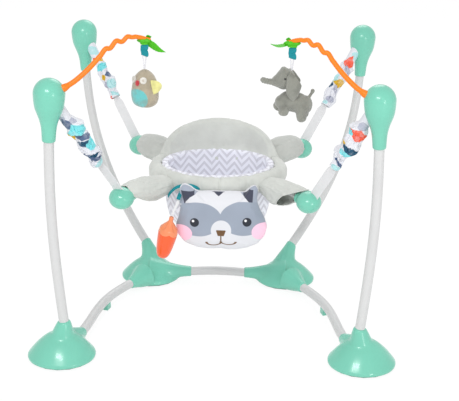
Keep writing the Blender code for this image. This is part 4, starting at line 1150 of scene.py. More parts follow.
@dataclass
class BaseFrame:
    """Feet, hubs, tubes, posts and caps."""

    foot_width: float = 0.194
    foot_depth: float = 0.17
    foot_height: float = 0.078
    hub_height: float = 0.07
    lip: float = 0.008
    base: float = 0.0043
    tube_radius: float = 0.014
    foot_x: float = 0.427
    foot_y: float = -0.394
    hub_x: float = 0.225
    hub_y: float = 0.151
    voxel: float = 0.0022
    mint: Material = field(init=False)
    paint: Material = field(init=False)
    shade: Material = field(init=False)

    def post(self, corner: Corner, steps: int = 24) -> list[Vector]:
        """Work out a post's middle line.

        Args:
            corner: The post's corner.
            steps: How many steps it has.

        Returns:
            The points from the socket's mouth up to the cap.
        """
        top, side = corner.cap, corner.side
        path = []
        for step in range(steps + 1):
            share = step / steps
            if corner.rear:
                base = vec(side * 0.246, 0.194, 0.113)
                rest = (1 - share) ** 2.72
                path.append(
                    vec(
                        top.x + (base.x - top.x) * rest, top.y + (base.y - top.y) * rest,
                        base.z + (top.z - base.z) * share))
            else:
                point = vec(side * 0.417, -0.394, 0.115).lerp(top, share)
                point.x += side * 0.0155 * sin(pi * share)
                path.append(point)
        return path

    def side(self, side: int, steps: int = 24) -> list[Vector]:
        """Work out the middle line of a side tube, from its front socket to its rear one."""
        front, rear = vec(side * 0.384, -0.301, 0.031), vec(side * 0.281, 0.027, 0.031)
        path = []
        for step in range(steps + 1):
            share = step / steps
            point = front.lerp(rear, share)
            point.x += side * 0.024 * sin(pi * share**1.4)
            path.append(point)
        return path

    def dome(self, x: float, y: float, height: float) -> Shape:
        """Turn the bell shape of a foot and squash it front to back."""
        radius = self.foot_width / 2
        profile = [(0.0, self.base + height)]
        for step in range(1, 25):
            angle = radians(90 * step / 24)
            rise = cos(angle) ** 2.1
            profile.append((radius * sin(angle), self.base + self.lip + (height - self.lip) * rise))
        profile += [(radius * 0.99, self.base), (0.0, self.base)]
        squash = Matrix.Diagonal((1.0, self.foot_depth / self.foot_width, 1.0, 1.0))
        return Maker.moved(Maker.spin(profile, 96), Matrix.Translation((x, y, 0.0)) @ squash)

    def neck(self, base: Vector, base_radius: float, mouth: Vector, aim: Vector, power: float) -> Shape:
        """Grow a flared neck out of a dome.

        Args:
            base: The middle of its foot.
            base_radius: The radius there.
            mouth: The middle of its mouth.
            aim: Where the mouth faces.
            power: How fast it narrows.

        Returns:
            The neck.
        """
        frames = []
        for step in range(17):
            share = step / 16
            normal = vec(0, 0, 1).lerp(aim.normalized(), share).normalized()
            across = (vec(1, 0, 0) - normal * normal.x).normalized()
            radius = 0.017 + (base_radius - 0.017) * (1 - share) ** power
            frames.append((base.lerp(mouth, share), across, normal.cross(across), radius))

        def place(side: int, station: int) -> Vector:
            """Put one corner of the neck."""
            middle, across, along, radius = frames[station]
            angle = 2 * pi * side / 48
            return middle + (across * cos(angle) + along * sin(angle)) * radius

        return Maker.loft(48, 17, place)

    def skirt(self, mouth: Vector, run: Vector, length: float, widen: float, power: float = 1.6) -> Shape:
        """Grow the boss of a level tube, which widens inwards and stops at the floor.

        Args:
            mouth: The middle of its mouth.
            run: Where it widens to.
            length: How long it is.
            widen: How much wider its inner end is.
            power: How fast it widens.

        Returns:
            The boss.
        """
        path = [mouth + run * (length * (16 - step) / 16) for step in range(17)]
        shape = Maker.sweep(path, [0.017 + widen * (1 - step / 16) ** power for step in range(17)], 48)
        bmesh.ops.bisect_plane(
            shape, geom=list(shape.verts) + list(shape.edges) + list(shape.faces),
            plane_co=(0, 0, self.base), plane_no=(0, 0, 1), clear_inner=True)
        bmesh.ops.holes_fill(shape, edges=[edge for edge in shape.edges if edge.is_boundary])
        return shape

    def foot(self, side: int) -> None:
        """Make a front foot with its two sockets."""
        word = "left" if side < 0 else "right"
        post, tube = self.post(Corner((side, -1))), self.side(side)
        neck = self.neck(vec(side * self.foot_x, self.foot_y, 0.045), 0.041, post[0], post[1] - post[0], 0.8)
        run = (tube[1] - tube[0]).normalized()
        boss = self.skirt(tube[0], -run, 0.062, 0.012)
        web = Maker.sweep(
            [vec(side * self.foot_x, self.foot_y, 0.064), tube[0] - run * 0.016 + vec(0, 0, 0.004)],
            [0.026, 0.017], 48)
        shape = Maker.fused(
            [self.dome(side * self.foot_x, self.foot_y, self.foot_height), neck, boss, web], self.voxel,
            fillets=110)
        Maker.piece(f"foot_shell_{word}", shape, self.mint, "frame", [f"foot_front_{word}"], "mint_gloss", 1)

    def hub(self, side: int) -> None:
        """Make a rear hub with its three sockets."""
        word = "left" if side < 0 else "right"
        post, tube = self.post(Corner((side, 1))), self.side(side)
        neck = self.neck(vec(side * 0.213, self.hub_y, 0.04), 0.046, post[0], post[1] - post[0], 1.3)
        run = (tube[-1] - tube[-2]).normalized()
        boss = self.skirt(tube[-1], run, 0.075, 0.026, 1.3)
        flare = self.skirt(vec(side * 0.088, 0.134, 0.031), vec(side, 0, 0), self.hub_x - 0.088, 0.03)
        shape = Maker.fused(
            [self.dome(side * self.hub_x, self.hub_y, self.hub_height), neck, boss, flare], self.voxel,
            fillets=110)
        Maker.piece(f"hub_shell_{word}", shape, self.mint, "frame", [f"hub_rear_{word}"], "mint_gloss", 1)

    def tube(self, name: str, path: list[Vector], node: str) -> None:
        """Make one painted tube that reaches into its sockets."""
        start = path[0] + (path[0] - path[1]).normalized() * 0.03
        end = path[-1] + (path[-1] - path[-2]).normalized() * (0.03 if "post" not in node else 0.0)
        shape = Maker.sweep(
            [start, *path, end] if "post" not in node else [start, *path], self.tube_radius, 40)
        Maker.piece(name, shape, self.paint, "frame", [node], "white_paint")

    def cap(self, corner: Corner) -> None:
        """Make the drop-shaped cap on a post, with screw holes on the rear ones."""
        radius, neck, length = 0.0425, 0.0182, 0.129
        knots = [(radius * sin(radians(a)), radius * cos(radians(a))) for a in range(0, 91, 10)]
        knots += [
            (radius * w, -length * d) for d,
            w in ((0.15, 0.965), (0.29, 0.895), (0.42, 0.75), (0.55, 0.6), (0.72, 0.485))]
        knots += [(neck, -length * 0.97)]
        outline = [(max(0.0, p.x), p.y) for p in Maker.curve([(x, z, 0.0) for x, z in knots], 5)]
        outline += [(neck - 0.0006, -length * 0.992), (neck - 0.0018, -length), (0.0, -length)]
        post = self.post(corner)
        place = Maker.aim(corner.cap, corner.cap - post[-5])
        shape = Maker.moved(Maker.spin(outline, 96), place)
        Maker.piece(
            f"cap_shell_{corner.word}", shape, self.mint, "frame", [f"cap_{corner.word}"], "mint_gloss",
            sharp=50)
        if corner.rear:
            self.screws(corner)

    def screws(self, corner: Corner) -> None:
        """Sink two small screw holes into the inner face of a rear cap, as discs whose dark mint is painted
        shade in the holes.
        """
        shapes = []
        for rise, turn in ((-0.03, 52.0), (-0.052, 40.0)):
            angle = radians(-90 - corner.side * turn)
            out = vec(cos(angle), sin(angle), 0.0)
            reach = 0.0385 if rise > -0.04 else 0.0335
            spot = corner.cap + out * reach + vec(0, 0, rise)
            place = Maker.aim(spot, out + vec(0, 0, -0.25), vec(0, 0, 1))
            profile = [
                (0.0, 0.0012), (0.0021, 0.0012), (0.0024, 0.0018), (0.0031, 0.0019), (0.0034, -0.002),
                (0.0, -0.002)]
            shapes.append(Maker.moved(Maker.spin(profile, 24), place))
        Maker.piece(
            f"cap_screws_{corner.word}", Maker.merged(shapes), self.shade, "frame", slot="mint_gloss")

    def build(self) -> None:
        """Make the whole frame."""
        self.mint = MouldedPlastic("mint_plastic", (0.186, 0.592, 0.45)).build()
        # Painted shade: this dark mint stands in for the shade inside the rear caps' screw holes.
        self.shade = MouldedPlastic("mint_recess_painted_shade", (0.05, 0.19, 0.14), 0.45, 0.0).build()
        self.paint = PowderCoat().build()
        rubber = SoleRubber().build()
        for side, word in ((-1, "left"), (1, "right")):
            self.foot(side)
            self.hub(side)
            self.tube(f"side_rail_{word}", self.side(side), f"side_tube_{word}")
            for node, finish in (("sole_front", rubber), ("sole_rear", rubber), ("side_foot", self.mint)):
                Maker.dress(f"{node}_{word}", finish)
        rail = [vec(-0.088 + 0.176 * s / 24, 0.134, 0.031 + 0.004 * sin(pi * s / 24)) for s in range(25)]
        self.tube("cross_rail", rail, "cross_tube")
        for corner in Corner:
            self.tube(f"post_tube_{corner.word}", self.post(corner)[:-2], f"post_{corner.word}")
            self.cap(corner)
        LOG.info(
            "base frame: %.0f mm wide feet, %.0f mm tubes", self.foot_width * 1000, self.tube_radius * 2000)


@dataclass(frozen=True)
class FacePrint:
    """The plain animal face that is printed on the front of the pad."""

    name: str = "face_print"
    white: Colour = (0.735, 0.74, 0.78)
    grey: Colour = (0.285, 0.325, 0.4)
    ear: Colour = (0.36, 0.4, 0.49)
    navy: Colour = (0.045, 0.05, 0.085)
    eye: Colour = (0.014, 0.018, 0.03)
    pink: Colour = (0.97, 0.61, 0.77)
    brown: Colour = (0.15, 0.072, 0.024)

    def build(self) -> Material:
        """Make the material."""
        shader = Shader(self.name)
        x, y, z = shader.axes()
        edge = 0.0007
        front = y.below(-0.152, 0.002)

        def disc(
            under: Socket | Colour, over: Colour, middle: Sequence[float], size: Sequence[float]
        ) -> Socket:
            """Print an ellipse."""
            return shader.blend(shader.spot(x, z, middle, size).below(1.0, edge / min(size)), under, over)

        def corner(under: Socket | Colour, over: Colour, points: Sequence[Sequence[float]]) -> Socket:
            """Print a shape with straight sides, its points in counter-clockwise order."""
            reach = None
            for (ax, az), (bx, bz) in zip(points, [*points[1:], points[0]]):
                run = hypot(bx - ax, bz - az)
                side = (x - ax) * ((bz - az) / run) - (z - az) * ((bx - ax) / run)
                reach = side if reach is None else reach.most(side)
            return shader.blend(reach.below(0.0, edge), under, over)

        ears = (z.below(0.385, 0.001) * -1.0 + 1.0) * front
        colour: Socket | Colour = shader.blend(ears, self.white, self.ear)
        colour = corner(colour, self.navy, [(-0.05, 0.405), (0.072, 0.405), (0.069, 0.45), (-0.047, 0.45)])
        colour = corner(colour, self.navy, [(-0.088, 0.376), (-0.06, 0.4), (-0.062, 0.429), (-0.102, 0.427)])
        colour = corner(colour, self.navy, [(0.108, 0.39), (0.11, 0.436), (0.079, 0.436), (0.082, 0.408)])
        colour = corner(
            colour, self.white,
            [
                (-0.094, 0.372), (0.01, 0.372), (0.01, 0.414), (-0.004, 0.4235), (-0.0235, 0.427),
                (-0.04, 0.4262), (-0.056, 0.423), (-0.075, 0.411), (-0.087, 0.396)])
        colour = corner(
            colour, self.white,
            [
                (0.008, 0.372), (0.11, 0.374), (0.103, 0.394), (0.0882, 0.4125), (0.0734, 0.4235),
                (0.0549, 0.4275), (0.0364, 0.427), (0.0215, 0.4235), (0.008, 0.414)])
        shade = shader.grain(9.0, 1.0).below(0.5, 0.3)
        lobe = shader.blend(shade, self.grey, tuple(part * 1.16 for part in self.grey))
        for middle in ((-0.052, 0.344), (0.084, 0.349)):
            reach = shader.spot(x, z, middle, (0.0715, 0.0535))
            colour = shader.blend(reach.below(1.0, 0.012), colour, lobe)
        colour = disc(colour, self.white, (0.0174, 0.311), (0.03, 0.0326))
        colour = disc(colour, self.pink, (-0.0985, 0.2975), (0.0305, 0.027))
        colour = disc(colour, self.pink, (0.1365, 0.307), (0.029, 0.0275))
        for middle in ((-0.0609, 0.335), (0.0933, 0.3395)):
            colour = disc(colour, self.eye, middle, (0.0134, 0.0138))
            colour = disc(
                colour, (0.95, 0.95, 0.97), (middle[0] - 0.0042, middle[1] + 0.0044), (0.0036, 0.0038))
        nose = (abs(x - 0.0169) - (z - 0.2667) * 0.33).most(z - 0.3122).most(0.2938 - z)
        nose = nose.most(((x - 0.0169) * (x - 0.0169) * 30.0 + abs(z - 0.302)) - 0.0148)
        stem = (abs(x - 0.0171) - 0.0019).most(z - 0.294).most(0.269 - z)
        mouth = nose.least(stem)
        for middle, size in (((-0.004, 0.2718), (0.0212, 0.0104)), ((0.039, 0.2742), (0.0219, 0.0094))):
            line = abs(shader.spot(x, z, middle, size) - 1.0) * 0.014 - 0.0023
            mouth = mouth.least(line.most(z - middle[1] - 0.0012))
        colour = shader.blend(mouth.below(0.0, 0.0005), colour, self.brown)
        colour = shader.blend(front, self.white, colour)
        thread, normal = Cloth.weave(shader, 0.0009, 0.0003, 0.0015)
        return shader.finish(
            Base_Color=colour, Roughness=thread * 0.1 + 0.62, Normal=normal, Sheen_Weight=0.2)


def ring_point(angle: float, radius: float, height: float) -> Vector:
    """Find a point on an oval about the seat's upright axis, its angle in degrees."""
    turn = radians(angle)
    return vec(radius * cos(turn), radius * ASPECT * sin(turn) + SHIFT_Y, height)


@dataclass
class Suspension:
    """The seat's balls, and above each a spring in its sleeve and a strap."""

    throat: float = 0.016
    sleeve_start: float = 0.031
    sleeve_free: float = 0.094
    neck_width: float = 0.019
    strap_width: float = 0.03
    strap_thickness: float = 0.003
    ball_radius: float = 0.0366
    ball_half_height: float = 0.0322
    shares: PerCorner = (0.68, 0.65, 0.6, 0.64)
    girths: PerCorner = (0.0225, 0.025, 0.0195, 0.0205)
    twists: PerCorner = (65.0, 0.0, 120.0, 45.0)
    inward: PerCorner = (0.012, 0.0, 0.0, 0.008)
    tapers: PerCorner = (0.05, 0.42, 0.0, 0.1)
    leans: PerCorner = (0.0075, 0.0, 0.0, 0.0)

    def patches(self, corner: Corner) -> tuple[Patch, ...]:
        """Lay out the plain patches of one sleeve, which face the front. The pale grey-lilac patches are
        painted fold shade, and the low slate band on the front right sleeve is a painted shadow band.
        """
        band, blot, kite = Motif.BAND, Motif.ROUND, Motif.DIAMOND
        slate, aqua, teal = (0.08, 0.125, 0.235), (0.19, 0.69, 0.73), (0.0, 0.068, 0.14)
        # The third colour is painted shade: a pale grey-lilac laid in patches where the sleeve's folds are
        # shaded.
        mustard, coral, painted_fold_shade = (0.68, 0.42, 0.012), (0.88, 0.1, 0.04), (0.45, 0.465, 0.56)
        pale = (0.44, 0.72, 0.74)
        rows = {
            Corner.FRONT_LEFT: (
                (band, painted_fold_shade, 0.1, 0.2, 0.13, 0.06), (kite, slate, 0.05, 0.28, 0.15, 0.095),
                (blot, painted_fold_shade, 0.86, 0.28, 0.07, 0.035), (kite, aqua, 0.97, 0.42, 0.26, 0.12),
                (blot, mustard, 0.19, 0.47, 0.11, 0.07), (band, slate, 0.92, 0.515, 0.15, 0.038),
                (kite, teal, 0.98, 0.6, 0.24, 0.042), (blot, aqua, 0.85, 0.66, 0.13, 0.08),
                (kite, slate, 0.14, 0.78, 0.1, 0.045), (kite, teal, 0.97, 0.81, 0.17, 0.036),
                (band, slate, 0.92, 0.875, 0.15, 0.028), (blot, pale, 0.9, 0.96, 0.16, 0.04)),
            Corner.REAR_LEFT: (
                (band, pale, 0.98, 0.19, 0.17, 0.075), (blot, coral, 0.12, 0.34, 0.12, 0.035),
                (kite, mustard, 0.87, 0.37, 0.14, 0.055), (blot, aqua, 0.99, 0.485, 0.2, 0.058),
                (kite, slate, 0.86, 0.63, 0.12, 0.065), (blot, mustard, 0.09, 0.655, 0.12, 0.052),
                (kite, painted_fold_shade, 0.1, 0.78, 0.15, 0.08), (blot, pale, 0.92, 0.8, 0.14, 0.075),
                (band, pale, 0.95, 0.955, 0.13, 0.03), (kite, coral, 0.17, 0.975, 0.08, 0.04)),
            Corner.REAR_RIGHT: (
                (blot, pale, 0.93, 0.17, 0.16, 0.06), (kite, coral, 0.02, 0.3, 0.21, 0.115),
                (band, painted_fold_shade, 0.94, 0.42, 0.14, 0.04), (blot, pale, 0.19, 0.58, 0.09, 0.07),
                (kite, mustard, 0.97, 0.635, 0.24, 0.075), (kite, teal, 0.21, 0.69, 0.08, 0.05),
                (band, painted_fold_shade, 0.93, 0.74, 0.14, 0.042), (blot, painted_fold_shade, 0.0, 0.9, 0.16, 0.05),
                (blot, pale, 0.12, 0.965, 0.1, 0.03)),
            Corner.FRONT_RIGHT: (
                (blot, painted_fold_shade, 0.0, 0.25, 0.15, 0.06), (kite, coral, 0.99, 0.385, 0.28, 0.08),
                (blot, aqua, 0.19, 0.41, 0.09, 0.03), (blot, mustard, 0.21, 0.6, 0.07, 0.038),
                (kite, teal, 0.97, 0.61, 0.28, 0.055), (blot, aqua, 0.0, 0.69, 0.16, 0.038),
                # The first band here is a painted shadow: slate laid low on the sleeve where a crease shades
                # it.
                (band, slate, 0.95, 0.905, 0.2, 0.02), (blot, pale, 0.0, 0.965, 0.18, 0.03))}
        return tuple(Patch(*row) for row in rows[corner])

    def sleeve(
        self, corner: Corner, share: float, girth: float, seed: float, taper: float, lean: float
    ) -> None:
        """Gather one sleeve over its spring.

        Args:
            corner: The sleeve's corner.
            share: Where it ends, as a share of the hang length.
            girth: How far it stands off the spring's middle.
            seed: What makes its folds its own.
            taper: How much of its girth it loses by its end.
            lean: How far it lies to the right of its spring.
        """
        start, down, length = corner.hang()
        end = length * share
        place = Maker.aim(start, down)
        sides, rows = 96, 190
        free = end - self.sleeve_free

        def spot(side: int, row: int) -> Vector:
            """Put one point of the gathered cloth."""
            along = self.sleeve_start + (end - self.sleeve_start) * row / (rows - 1)
            angle = 2 * pi * side / sides
            run = max(0.0, (along - self.sleeve_free + 0.006) / free)
            loose = min(1.0, run * 7) * min(1.0, max(0.0, (end - along) / 0.03) ** 0.6 + 0.12)
            round_it = vec(cos(angle), sin(angle), 0)
            slant = noise(round_it * 0.7 + vec(seed, 0, along * 26)) * 2.2 + 0.8 * sin(angle + seed)
            puff = 0.055 * sin(2 * pi * along / 0.026 + slant * 2)
            puff += 0.66 * noise(round_it * 0.6 + vec(0, seed, along * 24))
            fold = noise(round_it * 1.0 + vec(3, seed, along * 44 + slant))
            fine = noise(round_it * 2.2 + vec(seed, 7, along * 85 + slant))
            crease = 0.0056 * max(0.0, 1 - abs(fold) * 6) + 0.0022 * max(0.0, 1 - abs(fine) * 5)
            full = girth * (1.0 + puff) * (1 + 0.16 * taper - taper * min(1.0, run) ** 1.5)
            radius = self.throat + loose * (full - crease - self.throat)
            sway = loose * 0.0034 * sin(along * 58 + seed)
            aside = loose * lean + sway * 0.4
            return place @ vec(radius * cos(angle) + sway, radius * sin(angle) - aside, along)

        shape = Maker.loft(sides, rows, spot, lambda side, row: (side / sides, row / (rows - 1)), caps=False)
        thing = Maker.skinned(shape, "sleeve", 0.0012)
        finish = PrintedCloth(f"sleeve_cloth_{corner.word}", self.patches(corner)).build()
        Maker.piece(
            f"sleeve_gathered_{corner.word}", thing, finish, "frame", [f"sleeve_{corner.word}"],
            "printed_cloth", levels=1, sharp=75, bend=(start, start + down * length))
        round((end - self.sleeve_start) * 1.2, 3)
        f"cap_{corner.word}"
        f"spring_{corner.word}"

    def strap(self, corner: Corner, share: float, twist: float, inward: float) -> None:
        """Hang one webbing strap between the spring and the ball.

        Args:
            corner: The strap's corner.
            share: Where its sleeve ends, as a share of the hang length.
            twist: How far it is twisted, in degrees.
            inward: How far its foot is drawn in.
        """
        start, down, length = corner.hang()
        end = length * share
        out = vec(down.x, down.y, 0).normalized()
        down = (start + down * length + out * inward - start).normalized()
        flat = Matrix.Rotation(radians(twist), 3, down) @ down.cross(vec(0, 0, 1)).normalized()
        knots = (
            (0.166, self.neck_width), (end + 0.002, self.neck_width), (end + 0.01, self.neck_width * 1.2),
            (end + 0.022, self.strap_width), (end + 0.028, self.strap_width), (length, self.strap_width))
        path = [start + down * along for along, _ in knots]
        shape = Maker.sweep(
            path, [width / 2 for _, width in knots], 40, self.strap_thickness / self.strap_width,
            across=flat.cross(down).normalized(), boxy=0.35)
        thing = Maker.piece(
            f"webbing_{corner.word}", shape, self.webbing, "seat", [f"strap_{corner.word}"], "white_webbing")
        round(length - 0.166, 3)
        f"spring_{corner.word}"
        f"seat_ball_{corner.word}"

    def ball(self, corner: Corner) -> None:
        """Mould the ball that holds the strap, with its neck towards the ring."""
        middle = corner.ball
        inner = corner.arm
        run = (inner - middle).normalized()
        neck = Maker.sweep(
            [middle + run * step for step in (0.004, 0.024, 0.034, 0.042, 0.046)],
            [0.0215, 0.021, 0.019, 0.0185, 0.0178], 48)
        orb = Maker.ball(middle, (self.ball_radius, self.ball_radius, self.ball_half_height), rings=40)
        shape = Maker.fused([orb, neck], 0.0016, 4)

        def part(spot: Vector, _: Vector) -> float:
            """Cut the fine line where the two halves meet."""
            return -0.0006 * exp(-(((spot.z - middle.z + 0.004) / 0.0009) ** 2))

        Maker.pressed(shape, part)
        Maker.piece(
            f"ball_shell_{corner.word}", shape, self.mint, "seat", [f"seat_ball_{corner.word}"], "mint_gloss"
        )

    def build(self, mint: Material) -> None:
        """Hang all four corners.

        Args:
            mint: The plastic of the balls.
        """
        self.mint = mint
        self.webbing = Webbing("strap_webbing").build()
        wire = SpringWire().build()
        traits = zip(Corner, self.shares, self.girths, self.twists, self.inward, self.tapers, self.leans)
        for seed, (corner, share, girth, twist, inward, taper, lean) in enumerate(traits):
            Maker.dress(f"spring_{corner.word}", wire)
            self.sleeve(corner, share, girth, 3.7 * seed + 1.3, taper, lean)
            self.strap(corner, share, twist, inward)
            self.ball(corner)
        LOG.info("suspension: straps %.0f mm wide", self.strap_width * 1000)


@dataclass
class Seat:
    """The padded ring, its back, the covers of its arms, the pocket and the face."""

    height: float = 0.425
    radius: float = 0.189
    inner: float = 0.1615
    pocket_top: float = 0.448
    pocket_depth: float = 0.222
    leg_radius: float = 0.052
    pleats: int = 30
    zigzag_turns: int = 16

    def pucker(self, spot: Vector, _: Vector) -> float:
        """Draw the cover in round its opening, and sew its front seam."""
        turn = atan2((spot.y - SHIFT_Y) / ASPECT, spot.x)
        reach = hypot(spot.x, (spot.y - SHIFT_Y) / ASPECT)
        near = max(0.0, 1 - abs(reach - self.inner - 0.008) / 0.016) * (1.0 if spot.z > self.height else 0.5)
        wave = sin(turn * 31 + 4 * noise(spot * 22))
        deep = -0.0024 * near * (1 + wave)
        fold = noise(vec(cos(turn) * 8, sin(turn) * 8, reach * 9))
        deep -= 0.009 * max(0.0, fold - 0.08) * min(1.0, 0.35 + near)
        ridge = abs(noise(vec(cos(turn) * 6, sin(turn) * 6, reach * 12 + spot.z * 9)))
        deep -= 0.0062 * max(0.0, 1 - ridge * 6) * min(1.0, 0.25 + near)
        deep -= 0.0036 * max(0.0, noise(spot * 30 + vec(7, 1, 3))) * (0.5 + near)
        if spot.y < 0:
            deep -= 0.004 * exp(-(((spot.x - 0.01) / 0.0026) ** 2))
        return deep

    def soft(
        self, node: str, name: str, finish: Material, press: Callable[[Vector, Vector], float], slot: str,
        fill: float, voxel: float = 0.0042, reach: float = 0.007, start: Shape | None = None
    ) -> Thing:
        """Turn one soft solid of the frame into a sewn pad.

        Args:
            node: The solid's node.
            name: The pad's name.
            finish: Its material.
            press: How its seams and creases are pressed in.
            slot: A material slot name; not used.
            fill: Not used.
            voxel: The size of its faces.
            reach: How far the cloth may move.
            start: What it starts from, if not from the solid itself.

        Returns:
            The pad.
        """
        thing = Maker.shown(Maker.swollen(start or node, voxel, reach), name)
        fine = thing.modifiers.new("fine", "SUBSURF")
        fine.levels = 1
        fine.render_levels = 1
        Maker.bake(thing)
        shape = bmesh.new()
        shape.from_mesh(thing.data)
        bpy.data.objects.remove(thing)
        thing = Maker.piece(name, Maker.pressed(shape, press), finish, "seat", [node], slot, sharp=180)
        return thing

    def arm_cover(self, corner: Corner, finish: Material) -> None:
        """Pad one rear arm's cover, with folds along the arm and creases at the ring."""
        inner = corner.arm
        length, along = (corner.ball - inner).length, (corner.ball - inner).normalized()

        def press(spot: Vector, normal: Vector) -> float:
            """Fold the cloth."""
            share = (spot - inner).dot(along) / length
            round_it = atan2(normal.z, normal.cross(along).z + 1e-6)
            wave = noise(vec(round_it * 1.6, share * 2.2, corner.side + 3.0) * 1.5)
            near = max(0.0, 1 - abs(share - 0.18) / 0.22)
            fine = noise(spot * 46 + vec(corner.side, 0, 0))
            raised = max(0.0, corner.side) * 0.006 * normal.z * sin(pi * min(1.0, max(0.0, share)))
            return 0.0006 + raised - 0.0026 * max(0.0, wave) * 2.0 - 0.0022 * max(0.0, fine) * (0.35 + near)

        self.soft(
            f"arm_cover_{corner.word}", f"arm_padding_{corner.word}", finish, press, "pale_cloth", 0.6,
            0.0036)

    def arm_drape(self, corner: Corner, finish: Material) -> None:
        """Drape one front arm's open cover over the arm and the inner side of its ball.

        Args:
            corner: The arm's corner.
            finish: The cloth.
        """
        inner = corner.arm
        along = (corner.ball - inner).normalized()
        length = (corner.ball - inner).length
        ahead = (vec(along.y, -along.x, 0) * corner.side).normalized()
        shares = (0.0, 0.14, 0.3, 0.5, 0.75, 1.0)
        lifted = corner.side > 0
        tops = (0.015, 0.019, 0.0245, 0.028, 0.03, 0.03) if lifted else (
            0.015, 0.019, 0.026, 0.034, 0.0385, 0.037)
        lows = (0.032, 0.044, 0.054, 0.05, 0.032, 0.02) if lifted else (
            0.034, 0.042, 0.046, 0.041, 0.029, 0.022)
        fronts = (0.033, 0.041, 0.041, 0.036, 0.0345, 0.0345)
        backs = (0.03, 0.037, 0.035, 0.0345, 0.0345, 0.0345)
        curves = [
            Maker.curve([(share, size, 0) for share, size in zip(shares, sizes)], 10)
            for sizes in (tops, lows, fronts, backs)]
        sides, rows = 110, 64

        def spot(side: int, row: int) -> Vector:
            """Put one point of the cloth."""
            angle = 2 * pi * side / sides
            fore, rise = cos(angle), sin(angle)
            if lifted:
                reach = 0.66 + 0.27 * rise + 0.3 * max(0.0, -fore) * max(0.0, -rise) - 0.05 * max(0.0, fore)
            else:
                reach = 0.62 + 0.29 * (0.5 + 0.5 * rise) ** 0.8 + 0.07 * fore * (
                    0.4 + 0.6 * abs(fore)) + 0.15 * max(0.0, -fore)
            reach += 0.006 * sin(3 * angle + 0.8)
            share = reach * row / (rows - 1)
            up = Maker.read(curves[0 if rise > 0 else 1], share).y
            wide = Maker.read(curves[2 if fore > 0 else 3], share).y
            key = vec(fore * 1.3, rise * 1.3, share * 2.6 + corner.side * 4)
            fold = noise(key * 1.9) * 0.11 + noise(key * 4.6) * 0.055
            hem = max(0.0, (row / (rows - 1) - 0.7) / 0.3) ** 2
            loose = 1 + fold * min(1.0, share * 5) * (1 - 0.6 * hem)
            loose -= hem * (0.04 if lifted else 0.22 + 0.09 * (0.5 - 0.5 * rise))
            middle = inner + along * (length * share) + vec(0, 0, 0.003 * share)
            return middle + ahead * (wide * fore * loose) + vec(0, 0, up * rise * loose)

        shape = Maker.loft(sides, rows, spot, caps=False)
        rim = [spot(side, rows - 1) for side in range(sides)]
        thing = Maker.skinned(shape, "drape", 0.0016)
        Maker.piece(
            f"arm_drape_{corner.word}", thing, finish, "seat", [f"arm_cover_{corner.word}"], "pale_cloth",
            levels=1, sharp=70)
        hem = Maker.piece(
            f"arm_hem_{corner.word}", Maker.sweep([*rim, rim[0]], 0.0016, 12), finish, "seat",
            slot="pale_cloth")
        f"seat_ball_{corner.word}"

    def panel(self) -> Shape:
        """Shape the back panel, whose foot runs out over the ring's padding."""
        sides, rows, reach = 44, 81, 67.0

        def spot(side: int, row: int) -> Vector:
            """Put one point of the panel."""
            share = 0.999 * (2 * row / (rows - 1) - 1)
            swell = sqrt(1 - share**2)
            top = 0.438 + 0.1095 * swell**1.08
            around = 2 * pi * side / sides
            height = 0.43 + (top - 0.43) * (0.5 - 0.5 * cos(around))
            thick = 0.015 * (0.45 + 0.55 * swell) * abs(sin(around)) ** 0.8
            thick += 0.0155 * min(1.0, exp((0.444 - height) / 0.014)) * min(1.0, abs(sin(around)) * 5)
            out = self.radius + 0.1 * (height - 0.436) + copysign(thick, -sin(around))
            return ring_point(90 - reach * share, out, height)

        return Maker.loft(sides, rows, spot)

    def pocket(self, finish: Material, trim: Material) -> None:
        """Sew the pocket with its two bound leg holes."""
        knots = [
            (1, 0, 0), (1, 0.42, 0), (0.985, 0.6, 0), (0.93, 0.75, 0), (0.79, 0.87, 0), (0.5, 0.96, 0),
            (0.02, 1, 0)]
        ruffle = Maker.curve(
            [
                (1.1, 0.018, 0), (1.086, -0.01, 0), (1.06, -0.024, 0), (1.03, -0.018, 0), (1.008, -0.004, 0),
                (1, 0, 0)],
            3)
        line = [*ruffle[:-1], *Maker.curve(knots, 14)]
        edge, girth = self.inner - 0.001, self.zigzag_turns * 0.0446
        sides = 220
        drops = [0.0]
        for before, after in zip(line, line[1:]):
            drops.append(
                drops[-1] + hypot((after.x - before.x) * edge, (after.y - before.y) * self.pocket_depth))

        def spot(side: int, row: int) -> Vector:
            """Put one point of the pocket's outside."""
            angle = 90 + 360 * side / sides
            share = line[row].y
            pleat = sin(radians(angle) * self.pleats + 3 * noise(vec(angle * 0.05, 0, 2)))
            give = -0.0013 * (1 + pleat) * max(0.0, 1 - max(0.0, share) * 2.2)
            ends = abs(cos(radians(angle))) ** 3
            tuck = max(0.0, noise(vec(angle * 0.16, share * 5, 4))) + 0.3
            give -= 0.013 * ends * tuck * max(0.0, 1 - abs(share - 0.02) / 0.22) * (
                1 if share > -0.02 and line[row].x < 1.05 else 0.3)
            give += 0.0035 * (
                noise(vec(angle * 0.045, share * 3, 9)) - 0.3) * sin(pi * min(1, max(0, share)))
            rise = 0.0
            if line[row].x > 1.005:
                rise = 0.001 * sin(radians(angle) * 61) * (0.5 + ends)
            return ring_point(
                angle, edge * line[row].x + give, self.pocket_top - self.pocket_depth * share + rise)

